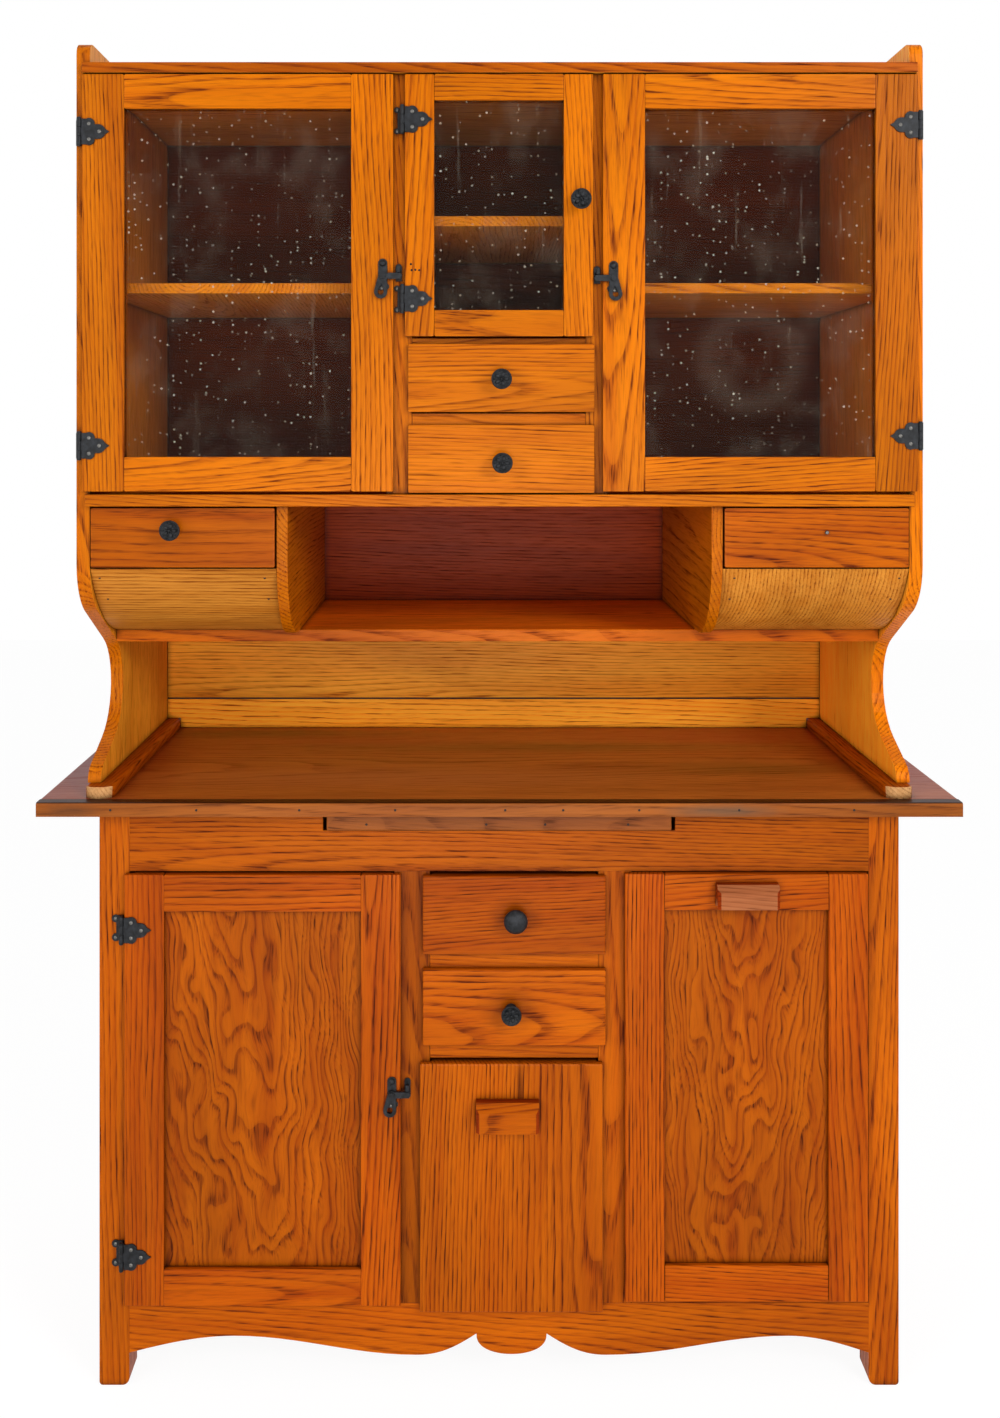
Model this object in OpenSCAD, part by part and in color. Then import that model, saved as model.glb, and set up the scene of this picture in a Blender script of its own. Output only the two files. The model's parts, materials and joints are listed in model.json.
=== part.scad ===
// Baker's cabinet: a base cupboard with two tilt-out bins, a worktop with a
// pull-out bread board under it, and an upper cupboard on S-curved sides.
// Millimetres. X is right, Y is back, Z is up. The front faces -Y.

/* [Whole cabinet] */
// Height from the floor to the tops of the upper sides
total_h = 1825; // [1780:1:1870]
// Thickness of the doors and drawer fronts
front_t = 20; // [18:0.5:24]
// How far a lipped front stands proud of its frame
lip_t = 9.5; // [8:0.5:12]
// How far a lip covers the frame beside its opening
lip_w = 9.5; // [7:0.5:12]
// Gap between a lipped front's inner block and its opening
lip_gap = 1.5; // [1:0.25:2.5]
// Gap above and below a front that has no lip there
front_gap = 2; // [1.5:0.25:3]
// Hairline between two boards of one frame or box
joint_gap = 0.1; // [0.05:0.05:0.2]

/* [Base] */
// Width over the legs
base_w = 1092; // [1060:1:1130]
// How far the base front stands behind the upper front
base_setback = 35; // [30:1:45]
// How far the base back stands in front of the worktop back
base_back_gap = 15; // [5:1:25]
// Width and depth of a leg
leg_w = 41; // [36:1:46]
// Radius of a foot's outer corner
foot_r = 5; // [2:0.5:8]
// Radius of a foot's inner corner
foot_inner_r = 10; // [4:0.5:14]
// Thickness of the base front rails and mullions
frame_t = 20; // [18:0.5:22]
// Height of the base floor's top
base_floor_z = 112; // [104:1:120]
// Underside of the base top rail
top_rail_z = 702; // [680:1:712]
// Lowest point of the scalloped rail
scallop_low_z = 41; // [34:1:50]
// Height of the long arches of the scalloped rail
scallop_arch = 26; // [18:1:34]
// Thickness of the base side and back panels
panel_t = 8; // [6:0.5:10]
// Height of the rails of a base side
side_rail_h = 75; // [60:1:90]

/* [Base front] */
// Left edge of the base door
base_door_x0 = -510; // [-512:1:-506]
// Right edge of the base door
base_door_x1 = -134; // [-142:1:-130]
// Left edge of the base drawers
base_drawer_x0 = -104; // [-108:1:-98]
// Right edge of the base drawers
base_drawer_x1 = 145; // [138:1:150]
// Left edge of the tall bin
tall_bin_x0 = 171; // [166:1:178]
// Right edge of the tall bin
tall_bin_x1 = 502; // [498:1:506]
// Bottom of the upper base drawer
drawer_a_z = 592; // [580:1:600]
// Top of the lower base drawer
drawer_b_top = 571; // [560:1:575]
// Bottom of the lower base drawer
drawer_b_z = 468; // [462:1:480]
// Top of the short bin's front
short_bin_top = 443; // [430:1:446]
// Lower edge of the bin fronts, under the rail's top
bin_drop = 7; // [4:0.5:8]
// Height of the sill under the tall bin
sill_h = 15; // [8:1:20]
// Width of the base door's stiles
base_stile_w = 54; // [46:1:60]
// Height of the base door's top and bottom rails
base_rail_h = 50; // [42:1:58]
// Depth of the short bin
short_bin_d = 250; // [200:1:280]
// Depth of the tall bin
tall_bin_d = 300; // [240:1:330]
// Widest tilt of a bin, in degrees
bin_tilt = 32; // [20:1:40]

/* [Worktop] */
// Width of the worktop
worktop_w = 1251; // [1230:1:1280]
// Height of the worktop's surface
worktop_z = 802; // [790:1:812]
// Thickness of the worktop
worktop_t = 19; // [17:0.5:23]
// How far the worktop front stands behind the upper front
worktop_setback = 12; // [6:1:20]
// Depth of the strip along the worktop's front
edge_d = 18; // [14:1:22]
// Width of the bread board
bread_w = 471; // [440:1:480]
// Thickness of the bread board
bread_t = 23; // [19:0.5:24]
// Depth of the bread board
bread_d = 380; // [330:1:390]
// Gap on each side of the bread board in its slot
bread_side_gap = 5; // [3:0.5:7]
// Gap above the bread board
bread_gap = 2; // [1.5:0.25:3]

/* [Upper case] */
// Width over the upper sides
upper_w = 1134; // [1110:1:1160]
// Depth of the upper case
upper_d = 470; // [450:1:490]
// Thickness of the upper sides
side_t = 18; // [16:0.5:20]
// How far the sides rise over the top board
side_rise = 29.5; // [24:0.5:34]
// Thickness of the top board
top_t = 14; // [12:0.5:16]
// Underside of the case floor
case_floor_z = 1203; // [1195:1:1210]
// Thickness of the case floor
case_floor_t = 16; // [14:0.5:18]
// Thickness of the back boards
back_t = 12; // [9:0.5:14]
// How far the upper back stands in front of the sides' back edges
back_inset = 8; // [4:1:14]
// Width of a strip under a side
strip_w = 40; // [34:1:46]
// Rounding of the foot strips' top edges
strip_round = 5; // [2:0.5:7]
// Height of a strip under a side
strip_h = 16; // [13:0.5:19]
// How far a strip starts behind the upper front
strip_setback = 30; // [24:1:40]

/* [Side curve] */
// Height at which the side's front edge starts to curve back
curve_top_z = 1125; // [1115:1:1132]
// Radius of the side's round shoulder
shoulder_r = 80; // [70:1:86]
// Slope of the middle of the curve, in degrees from upright
curve_slope = 60; // [56:0.5:62]
// How far the waist stands behind the front
waist_d = 168; // [160:1:180]
// Radius of the waist
waist_r = 78; // [70:1:84]
// How far the foot of the side stands behind the front
toe_d = 52; // [46:1:60]
// Radius of the toe
toe_r = 24; // [18:1:28]

/* [Upper front] */
// Outer edge of the left door
left_door_x0 = -557; // [-560:1:-552]
// Inner edge of the left door
left_door_x1 = -142; // [-146:1:-138]
// Left edge of the middle door
mid_door_x0 = -126.5; // [-130:0.5:-124]
// Right edge of the middle door
mid_door_x1 = 124.5; // [120:0.5:128]
// Inner edge of the right door
right_door_x0 = 137.5; // [134:0.5:142]
// Outer edge of the right door
right_door_x1 = 557; // [552:1:560]
// Bottom of the middle door
mid_door_z = 1430; // [1424:1:1436]
// Bottom of the upper centre drawer
drawer_c_z = 1329; // [1322:1:1336]
// Top of the lower centre drawer
drawer_d_top = 1312; // [1306:1:1316]
// Width of the large doors' stiles
big_stile_w = 56; // [50:1:62]
// Height of the large doors' rails
big_rail_h = 46; // [40:1:52]
// Width of the middle door's stiles
mid_stile_w = 39; // [34:1:44]
// Height of the middle door's rails
mid_rail_h = 35; // [30:1:40]
// Thickness of the glass
glass_t = 3; // [2.5:0.25:4]
// Width of the rebate that holds a pane or a panel
rebate_w = 8; // [6:0.5:10]
// Thickness of the upper shelves
shelf_t = 14; // [12:0.5:16]
// Top of the shelves behind the large doors
big_shelf_z = 1506; // [1490:1:1520]
// Top of the shelf behind the middle door
mid_shelf_z = 1598; // [1585:1:1610]

/* [Nook] */
// Top of the nook's shelf
nook_shelf_z = 1017; // [1010:1:1024]
// Thickness of the nook's shelf
nook_shelf_t = 17; // [15:0.5:19]
// How far the nook's shelf stands behind the upper front
nook_setback = 131; // [126:1:136]
// Distance between the nook's partitions
nook_w = 568; // [550:1:580]
// Thickness of a nook partition
nook_side_t = 15; // [13:0.5:17]
// Bottom of the side drawers' fronts
side_drawer_z = 1121; // [1116:1:1126]
// How far the side drawers' fronts stand proud
side_drawer_proud = 4; // [0:0.5:6]
// Thickness of the bent panels
bent_t = 5; // [4:0.5:6]
// Radius of the bent panels
bent_r = 185; // [175:1:200]
// Height of the lower back board
low_board_h = 49; // [42:1:56]

/* [Drawers and bins] */
// Thickness of drawer and bin sides and backs
box_t = 12; // [10:0.5:14]
// Thickness of drawer bottoms
bottom_t = 6; // [5:0.5:8]
// Gap beside a drawer box
box_gap = 2; // [1:0.25:3]
// Depth of the upper centre drawers
centre_drawer_d = 380; // [320:1:400]
// Depth of the side drawers
side_drawer_d = 330; // [280:1:360]
// Depth of the base drawers
base_drawer_d = 360; // [300:1:380]

/* [Iron fittings] */
// Height of a hinge
hinge_h = 36; // [32:0.5:40]
// Reach of a hinge's wide leaf over the door
leaf_w = 37; // [32:0.5:42]
// Reach of a hinge's narrow leaf
narrow_leaf_w = 15; // [12:0.5:15.5]
// Thickness of hinge leaves and latch plates
leaf_t = 1.6; // [1.2:0.1:2]
// Radius of a hinge's barrel
barrel_r = 3.2; // [2.8:0.1:3.6]
// Radius of a hinge's pin
pin_r = 1.4; // [1.2:0.1:1.6]
// Running gap round a pin
pin_gap = 0.05; // [0.03:0.01:0.09]
// Gap between a barrel and the door's edge
barrel_gap = 0.4; // [0.3:0.1:0.6]
// Radius of an iron knob
knob_r = 13.75; // [12:0.25:16]
// Height of the left upper door's lower hinge over the door's foot
left_hinge_rise = 61; // [40:1:90]
// Height of the middle door's lower hinge over the door's foot
middle_hinge_rise = 50; // [40:1:80]
// Height of the right upper door's lower hinge over the door's foot
right_hinge_rise = 74; // [40:1:90]
// Drop of the left upper door's upper hinge from the door's head
left_hinge_drop = 77; // [50:0.5:100]
// Drop of the right upper door's upper hinge from the door's head
right_hinge_drop = 68; // [50:0.5:100]
// Drop of the middle door's upper hinge from the door's head
middle_hinge_drop = 60.5; // [50:0.5:100]
// Height of the base door's lower hinge over the door's foot
base_hinge_rise = 67; // [40:1:90]
// Drop of the base door's upper hinge from the door's head
base_hinge_drop = 75; // [50:1:100]
// Reach of an iron knob
knob_reach = 24; // [20:0.5:28]
// Radius of the smooth knob on the upper base drawer
smooth_knob_r = 16; // [14:0.25:18]
// Length of a latch lever under its pivot
lever_len = 30; // [26:0.5:34]
// Length of a latch tongue from the pivot
tongue_len = 26; // [24:0.5:27]
// Height of a latch tongue
tongue_h = 8; // [6:0.5:9]
// Gap between a tongue and its keeper's finger
keeper_gap = 1; // [0.5:0.1:2]
// Width of a latch's keeper
keeper_w = 8; // [6:0.5:9]
// Height of the left door's latch over the door's foot
left_latch_rise = 287; // [270:1:300]
// Height of the right door's latch over the door's foot
right_latch_rise = 284; // [270:1:300]
// Height of the base door's latch over the door's foot
base_latch_rise = 289; // [240:1:340]
// Distance of a latch's pivot from its door's edge
latch_inset = 14; // [12:0.5:15]
// Radius of the pivot stud of a latch
stud_r = 2.2; // [1.8:0.1:2.6]
// Radius of a latch lever's ring
ring_r = 8.75; // [7.5:0.25:9.5]

/* [Wooden pulls] */
// Place of the short bin's pull, right of the cabinet's middle
short_pull_x = 11; // [0:1:25]
// Drop of the short bin's pull from the bin's head to the pull's middle
short_pull_drop = 66; // [40:1:90]
// Place of the tall bin's pull, right of the cabinet's middle
tall_pull_x = 336; // [300:1:370]
// Drop of the tall bin's pull from the bin's head to the pull's middle
tall_pull_drop = 26; // [18:1:50]
// Length of the short bin's pull
short_pull_l = 85; // [70:1:100]
// Height of the short bin's pull
short_pull_h = 38; // [30:1:42]
// Length of the tall bin's pull
tall_pull_l = 84; // [70:1:100]
// Height of the tall bin's pull
tall_pull_h = 31; // [26:1:38]
// Reach of a wooden pull
pull_reach = 20; // [16:0.5:24]

/* [Hidden] */

$fn = 48;
arc_steps = 12;
eps = 0.01;
seat = 0.3;

// Fronts and backs of the three stages
up_y = -(upper_d - lip_t - knob_reach) / 2;
up_back = up_y + upper_d;
top_y = up_y + worktop_setback;
base_y = up_y + base_setback;
base_back = up_back - base_back_gap;
worktop_under = worktop_z - worktop_t;
half_base = base_w / 2;
half_in = half_base - leg_w;
half_up = upper_w / 2;
half_up_in = half_up - side_t;
half_nook = nook_w / 2;

// Inner faces and openings
back_y = up_back - back_inset - back_t;
case_floor_top = case_floor_z + case_floor_t;
top_board_z = total_h - side_rise;
top_under = top_board_z - top_t;
strip_top = worktop_z + strip_h;
inset = lip_w + lip_gap;
core_t = front_t - lip_t;
up_door_z0 = case_floor_top + front_gap + 2;
up_door_z1 = top_under - front_gap;
base_door_z0 = base_floor_z + front_gap;
base_door_z1 = top_rail_z - front_gap;

// Upper front: stiles between the doors, rails round the drawers
div_a0 = left_door_x1 - lip_w;
div_a1 = mid_door_x0 + lip_w;
div_b0 = mid_door_x1 - lip_w;
div_b1 = right_door_x0 + lip_w;
drawer_c_top = mid_door_z - 10;
drawer_d_z = case_floor_top + front_gap;
rail_c_top = mid_door_z - front_gap;
rail_c_z = drawer_c_top - lip_w;
rail_d_top = drawer_c_z - front_gap;
rail_d_z = drawer_d_top - lip_w;

// Base front: mullions and rails
mull_a0 = base_door_x1 - lip_w;
mull_a1 = base_drawer_x0 + lip_w;
mull_b0 = base_drawer_x1 - lip_w;
mull_b1 = tall_bin_x0 + lip_w;
drawer_a_top = top_rail_z - 2 * front_gap;
rail_a_top = drawer_a_z - front_gap;
rail_a_z = drawer_b_top - lip_w;
rail_b_top = drawer_b_z - front_gap;
rail_b_z = short_bin_top + 4;
bin_z = base_floor_z - bin_drop;
tall_bin_z = bin_z + sill_h;
bread_z = worktop_under - bread_gap - bread_t;
slot_z = bread_z - seat;
slot_w = bread_w + 2 * bread_side_gap;

// Side drawers
side_front_y = up_y - side_drawer_proud;
side_drawer_top = case_floor_z - front_gap;
side_x0 = half_nook + nook_side_t;
dust_t = 8;
dust_setback = 15;
dust_top = side_drawer_z - front_gap;

// Hinges
barrel_x = barrel_r + barrel_gap;
knuckle_gap = 0.4;
knuckle_h = (hinge_h - 2 * knuckle_gap) / 3;
left_hinge_z = [up_door_z0 + left_hinge_rise, up_door_z1 - left_hinge_drop];
right_hinge_z = [up_door_z0 + right_hinge_rise, up_door_z1 - right_hinge_drop];
mid_hinge_z = [mid_door_z + middle_hinge_rise, up_door_z1 - middle_hinge_drop];
base_hinge_z = [base_door_z0 + base_hinge_rise, base_door_z1 - base_hinge_drop];

// Latches, each at its pivot
left_latch = [left_door_x1 - latch_inset, up_door_z0 + left_latch_rise];
right_latch = [right_door_x0 + latch_inset, up_door_z0 + right_latch_rise];
base_latch = [base_door_x1 - latch_inset + 2, base_door_z0 + base_latch_rise];

iron = [0.08, 0.08, 0.08];
oak = [0.80, 0.45, 0.12];
oak_dark = [0.70, 0.36, 0.09];
oak_red = [0.50, 0.25, 0.12];
glass = [0.25, 0.18, 0.14, 0.5];

// A board from corner to corner
module board(x0, x1, y0, y1, z0, z1) {
    translate([x0, y0, z0]) cube([x1 - x0, y1 - y0, z1 - z0]);
}

// A board on the right and its mirror image on the left
module pair() {
    children();
    mirror([1, 0, 0]) children();
}

// A flat shape in X and Z, given thickness from its back face forwards
module front_plate(back, t) {
    translate([0, back, 0]) rotate([90, 0, 0]) linear_extrude(t) children();
}

// A flat shape in Y and Z, given thickness from x0 to the right
module side_plate(x0, t) {
    translate([x0, 0, 0]) rotate([90, 0, 90]) linear_extrude(t) children();
}

function arc(cx, cy, r, a0, a1, n = arc_steps) =
    [for (i = [0:n]) let (a = a0 + (a1 - a0) * i / n) [cx + r * cos(a), cy + r * sin(a)]];
function ease(a, b, t) = a + (b - a) * (1 - cos(180 * t)) / 2;

// The centre of the circle of radius r through p and q, on the left of p to q
function centre_of(p, q, r) =
    let (m = (p + q) / 2, d = q - p, l = norm(d), h = sqrt(r * r - l * l / 4))
    m + h * [-d[1], d[0]] / l;

// A front block: a lip plate before the frame, and a core inside the opening
module lipped(x0, x1, z0, z1, y, l = 1, r = 1, b = 0, t = 0) {
    board(x0, x1, y - lip_t, y, z0, z1);
    board(x0 + l * inset, x1 - r * inset, y - eps, y + core_t, z0 + b * inset, z1 - t * inset);
}

// Stiles and rails cut from a front block, with a slot for what they hold
module door_frame(x0, x1, z0, z1, y, stile, rail, slot_y0, slot_y1, b = 0) {
    sx0 = x0 + stile;
    sx1 = x1 - stile;
    sz0 = z0 + rail;
    sz1 = z1 - rail;
    rx0 = sx0 + joint_gap;
    rx1 = sx1 - joint_gap;
    members = [[x0, sx0, z0, z1], [sx1, x1, z0, z1], [rx0, rx1, z0, sz0], [rx0, rx1, sz1, z1]];
    for (m = members)
        difference() {
            intersection() {
                lipped(x0, x1, z0, z1, y, b = b);
                board(m[0], m[1], y - lip_t, y + core_t, m[2], m[3]);
            }
            board(sx0 - rebate_w, sx1 + rebate_w, slot_y0, slot_y1, sz0 - rebate_w, sz1 + rebate_w);
        }
}

glass_y = 7;
bead_gap = 0.2;

// A glazed door: the frame, and beads behind the pane
module glazed_frame(x0, x1, z0, z1, y, stile, rail) {
    pane_y = y - lip_t + glass_y;
    sx0 = x0 + stile;
    sx1 = x1 - stile;
    sz0 = z0 + rail;
    sz1 = z1 - rail;
    bead_y = pane_y + glass_t + bead_gap;
    back = y + core_t;
    door_frame(x0, x1, z0, z1, y, stile, rail, pane_y, back + 1);
    w = rebate_w - joint_gap;
    board(sx0 - w, sx0, bead_y, back, sz0 - w, sz1 + w);
    board(sx1, sx1 + w, bead_y, back, sz0 - w, sz1 + w);
    board(sx0 + joint_gap, sx1 - joint_gap, bead_y, back, sz0 - w, sz0);
    board(sx0 + joint_gap, sx1 - joint_gap, bead_y, back, sz1, sz1 + w);
}

// The sheet that a frame holds, a little smaller than its slot
module sheet(x0, x1, z0, z1, y, stile, rail, y_in, t) {
    reach = rebate_w - seat;
    front = y - lip_t + y_in;
    board(x0 + stile - reach, x1 - stile + reach, front, front + t,
        z0 + rail - reach, z1 - rail + reach);
}

// A drawer: front, two sides, back and bottom
module drawer(x0, x1, z0, z1, y, depth, lips = 1, top_lip = 1) {
    bx0 = x0 + lips * lip_w + box_gap;
    bx1 = x1 - lips * lip_w - box_gap;
    bz0 = z0 - front_gap + seat;
    bz1 = z1 - top_lip * inset - 3;
    by0 = y + core_t;
    by1 = y + depth;
    lipped(x0, x1, z0, z1, y, l = lips, r = lips, t = top_lip);
    ix0 = bx0 + box_t + joint_gap;
    ix1 = bx1 - box_t - joint_gap;
    board(bx0, bx0 + box_t, by0 + joint_gap, by1, bz0, bz1);
    board(bx1 - box_t, bx1, by0 + joint_gap, by1, bz0, bz1);
    board(ix0, ix1, by1 - box_t, by1, bz0 + bottom_t + joint_gap, bz1);
    board(ix0, ix1, by0 + joint_gap, by1, bz0, bz0 + bottom_t);
}

// The two sides, the back and the bottom of a tilting bin. A side's top is an
// arc about the lower front edge, so the bin passes under the rail above it.
module bin_box(x0, x1, z0, z1, y, depth) {
    bx0 = x0 + lip_w + box_gap + 1;
    bx1 = x1 - lip_w - box_gap - 1;
    r = z1 - z0 - 4;
    front = core_t + joint_gap;
    floor_z = z0 + bin_drop + seat;
    h = floor_z - z0;
    a0 = acos(front / r);
    a1 = acos(depth / r);
    back_top = r * sin(a1);
    outline = concat([[front, h], [depth, h]], arc(0, 0, r, a1, a0));
    for (x = [bx0, bx1 - box_t])
        translate([0, y, z0]) side_plate(x, box_t) polygon(outline);
    ix0 = bx0 + box_t + joint_gap;
    ix1 = bx1 - box_t - joint_gap;
    board(ix0, ix1, y + depth - box_t, y + depth, floor_z + box_t + joint_gap, z0 + back_top - 4);
    board(ix0, ix1, y + front, y + depth, floor_z, floor_z + box_t);
}

// A turned knob on the face at y, pointing forwards
module knob(x, y, z, r, dome = 2) {
    rim = knob_reach - dome;
    translate([x, y, z]) rotate([90, 0, 0]) rotate_extrude()
        polygon(concat([[0, 0], [8, 0], [8, 1.5], [5, 4], [4.5, rim - 9], [r - 3, rim - 5.5],
            [r, rim - 3.5], [r, rim - 1]],
            [for (i = [1:5]) [(r - 1) * cos(18 * i), rim - 1 + (dome + 1) * sin(18 * i)]]));
}

// A wooden finger pull: a block with bevelled top and ends, hollowed below
module wooden_pull(x, z, y, l, h) {
    difference() {
        side_plate(x - l / 2, l)
            polygon([[y, z - h / 2], [y, z + h / 2], [y - pull_reach * 0.55, z + h / 2],
                [y - pull_reach, z + h * 0.22], [y - pull_reach, z - h / 2]]);
        side_plate(x - l / 2 - 1, l + 2)
            polygon([[y - pull_reach * 0.8, z - h / 2 - 1], [y - 3, z - h / 2 - 1],
                [y - 5, z - h * 0.15], [y - pull_reach * 0.6, z - h * 0.15]]);
        for (s = [-1, 1])
            translate([x + s * l / 2, y - pull_reach, z - h])
                rotate([0, 0, 45]) translate([-3, -3, 0]) cube([6, 6, 2 * h]);
    }
}

// Base

foot_d = leg_w;

// A leg's outline in X and Z, with its outer side at x = 0 and a worn foot
module leg_shape() {
    difference() {
        square([leg_w, worktop_under]);
        difference() {
            square(2 * foot_r, center = true);
            translate([foot_r, foot_r]) circle(foot_r);
        }
        translate([leg_w, 0])
            difference() {
                square(2 * foot_inner_r, center = true);
                translate([-foot_inner_r, foot_inner_r]) circle(foot_inner_r);
            }
    }
}

module base_legs() {
    color(oak)
        for (back = [base_y + foot_d, base_back])
            for (s = [0, 1])
                mirror([s, 0, 0]) translate([-half_base, 0, 0])
                    front_plate(back, foot_d) leg_shape();
}

side_in = 12;
side_rail_t = 20;
side_low_z = scallop_low_z + 20;
side_rail_back = 2;
side_rail_in = half_base - side_rail_back - side_rail_t;

// Each side between its legs: a panel held by an upper and a lower rail
module base_sides() {
    y0 = base_y + foot_d;
    y1 = base_back - foot_d;
    x0 = half_base - side_in;
    color(oak)
        pair() {
            for (z = [side_low_z, worktop_under - side_rail_h])
                board(side_rail_in, half_base - side_rail_back, y0, y1, z, z + side_rail_h);
            board(x0 - panel_t, x0, y0, y1, side_low_z + side_rail_h + joint_gap,
                worktop_under - side_rail_h - joint_gap);
        }
}

module base_back_panel() {
    color(oak_dark)
        board(-half_in, half_in, base_back - panel_t, base_back, side_low_z, worktop_under);
}

floor_t = 16;

module base_floor() {
    color(oak_dark)
        difference() {
            board(-side_rail_in, side_rail_in, base_y + frame_t, base_back - panel_t,
                base_floor_z - floor_t, base_floor_z);
            pair()
                for (y = [base_y, base_back - foot_d])
                    board(half_in, half_base, y - eps, y + foot_d + eps,
                        base_floor_z - floor_t - 1, base_floor_z + 1);
        }
}

module base_top_rail() {
    color(oak)
        difference() {
            board(-half_in, half_in, base_y, base_y + frame_t, top_rail_z, worktop_under);
            board(-slot_w / 2, slot_w / 2, base_y - 1, base_y + frame_t + 1, slot_z, worktop_under + 1);
        }
}

// Lower edge of the scalloped rail, from its middle to the right
scallop_mid = 17;
lobe_half = 48;
swell_x = 130;
arch_x = 378;
cusp_h = 29;
lobe_h = 28;
scallop_end = 3;

function scallop_half(end_x) = concat(
    [for (i = [0:arc_steps]) let (a = 90 * i / arc_steps)
        [lobe_half * sin(a), scallop_low_z + cusp_h - lobe_h * pow(cos(a), 0.8)]],
    [for (i = [1:arc_steps]) let (t = i / arc_steps)
        [lobe_half + (swell_x - lobe_half) * t, scallop_low_z + cusp_h * pow(1 - sin(90 * t), 1.15)]],
    [for (i = [1:arc_steps]) let (t = i / arc_steps)
        [swell_x + (arch_x - swell_x) * t, ease(scallop_low_z, scallop_low_z + scallop_arch, t)]],
    [for (i = [1:arc_steps]) let (t = i / arc_steps)
        [arch_x + (end_x - arch_x) * t,
            scallop_low_z + scallop_arch - (scallop_arch - scallop_end) * (1 - cos(90 * t))]]);

module base_scalloped_rail() {
    right = scallop_half(half_in - scallop_mid);
    left = scallop_half(half_in + scallop_mid);
    n = len(left) - 1;
    edge = concat([for (i = [0:n]) [scallop_mid - left[n - i][0], left[n - i][1]]],
        [for (i = [1:n]) [scallop_mid + right[i][0], right[i][1]]]);
    color(oak)
        front_plate(base_y + frame_t, frame_t)
            polygon(concat(edge, [[half_in, base_floor_z], [-half_in, base_floor_z]]));
}

module base_front_dividers() {
    color(oak) {
        for (m = [[mull_a0, mull_a1], [mull_b0, mull_b1]])
            board(m[0], m[1], base_y, base_y + frame_t, base_floor_z, top_rail_z);
        for (r = [[rail_a_z, rail_a_top], [rail_b_z, rail_b_top]])
            board(mull_a1 + joint_gap, mull_b0 - joint_gap, base_y, base_y + frame_t, r[0], r[1]);
        board(mull_b1 + joint_gap, half_in - joint_gap, base_y, base_y + frame_t,
            base_floor_z + joint_gap, base_floor_z + sill_h);
    }
}

partition_t = 14;
part_a = (mull_a0 + mull_a1) / 2;
part_b = (mull_b0 + mull_b1) / 2;
part_top = slot_z - 22;

module base_partitions() {
    color(oak_dark)
        for (x = [part_a, part_b])
            board(x - partition_t / 2, x + partition_t / 2, base_y + frame_t,
                base_back - panel_t, base_floor_z, part_top);
}

base_shelf_z = 400;
base_shelf_setback = 60;

module base_shelf() {
    color(oak_dark)
        difference() {
            board(-half_base + side_in + panel_t, part_a - partition_t / 2,
                base_y + base_shelf_setback, base_back - panel_t,
                base_shelf_z - floor_t, base_shelf_z);
            board(-half_base, -half_in, base_back - foot_d, base_back,
                base_shelf_z - floor_t - 1, base_shelf_z + 1);
        }
}

// Runners under the base drawers, and under and beside the bread board
module base_runners() {
    runner_t = 14;
    y0 = base_y + frame_t;
    y1 = base_back - panel_t;
    x0 = part_a + partition_t / 2;
    x1 = part_b - partition_t / 2;
    bx0 = mull_a1 + box_gap + box_t + 4;
    bx1 = mull_b0 - box_gap - box_t - 4;
    color(oak_dark) {
        for (top = [rail_a_top, rail_b_top]) {
            board(x0, bx0, y0, y1, top - runner_t, top);
            board(bx1, x1, y0, y1, top - runner_t, top);
        }
        for (s = [-1, 1]) {
            inner = s * (slot_w / 2 - 12);
            outer = s * (slot_w / 2 + 22);
            board(min(inner, outer), max(inner, outer), y0, y1, part_top, slot_z - joint_gap / 2);
            guide = s * (slot_w / 2);
            board(min(guide, outer), max(guide, outer), y0, y1, slot_z + joint_gap / 2, worktop_under);
        }
    }
}

module worktop() {
    color(oak_red)
        board(-worktop_w / 2, worktop_w / 2, top_y + edge_d, up_back, worktop_under, worktop_z);
}

module worktop_edge_strip() {
    color(oak_red)
        difference() {
            board(-worktop_w / 2, worktop_w / 2, top_y, top_y + edge_d, worktop_under, worktop_z);
            // The front arris is rounded off
            translate([0, top_y, worktop_z])
                rotate([0, 90, 0]) difference() {
                    cube([6, 6, worktop_w + 2], center = true);
                    translate([3, 3, 0]) cylinder(r = 3, h = worktop_w + 4, center = true);
                }
        }
}

// Upper case

side_corner_r = 16;
foot_slope = 66;

// A side's outline in Y and Z: straight in front of the cupboard, then back in
// an S to the waist over the nook, and out again to the foot
function side_outline() =
    let (
        sx = up_y + shoulder_r,
        wx = up_y + waist_d - waist_r,
        tx = up_y + toe_d + toe_r,
        shoulder_end = [sx - shoulder_r * cos(curve_slope), curve_top_z - shoulder_r * sin(curve_slope)],
        waist_start_y = wx + waist_r * cos(curve_slope),
        waist_start_z = shoulder_end[1] - (waist_start_y - shoulder_end[0]) / tan(curve_slope),
        wz = waist_start_z - waist_r * sin(curve_slope),
        run = wx + waist_r * cos(foot_slope) - (tx - toe_r * cos(foot_slope)),
        tz = wz - (waist_r + toe_r) * sin(foot_slope) - run / tan(foot_slope)
    )
    concat(
        [[up_back, strip_top]],
        arc(up_back - side_corner_r, total_h - side_corner_r, side_corner_r, 0, 90, 5),
        arc(up_y + side_corner_r, total_h - side_corner_r, side_corner_r, 90, 180, 5),
        arc(sx, curve_top_z, shoulder_r, 180, 180 + curve_slope),
        arc(wx, wz, waist_r, curve_slope, -foot_slope),
        arc(tx, tz, toe_r, 180 - foot_slope, 180, 6),
        [[up_y + toe_d, strip_top]]);

module upper_sides() {
    color(oak)
        pair() side_plate(half_up_in, side_t) polygon(side_outline());
}

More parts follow.
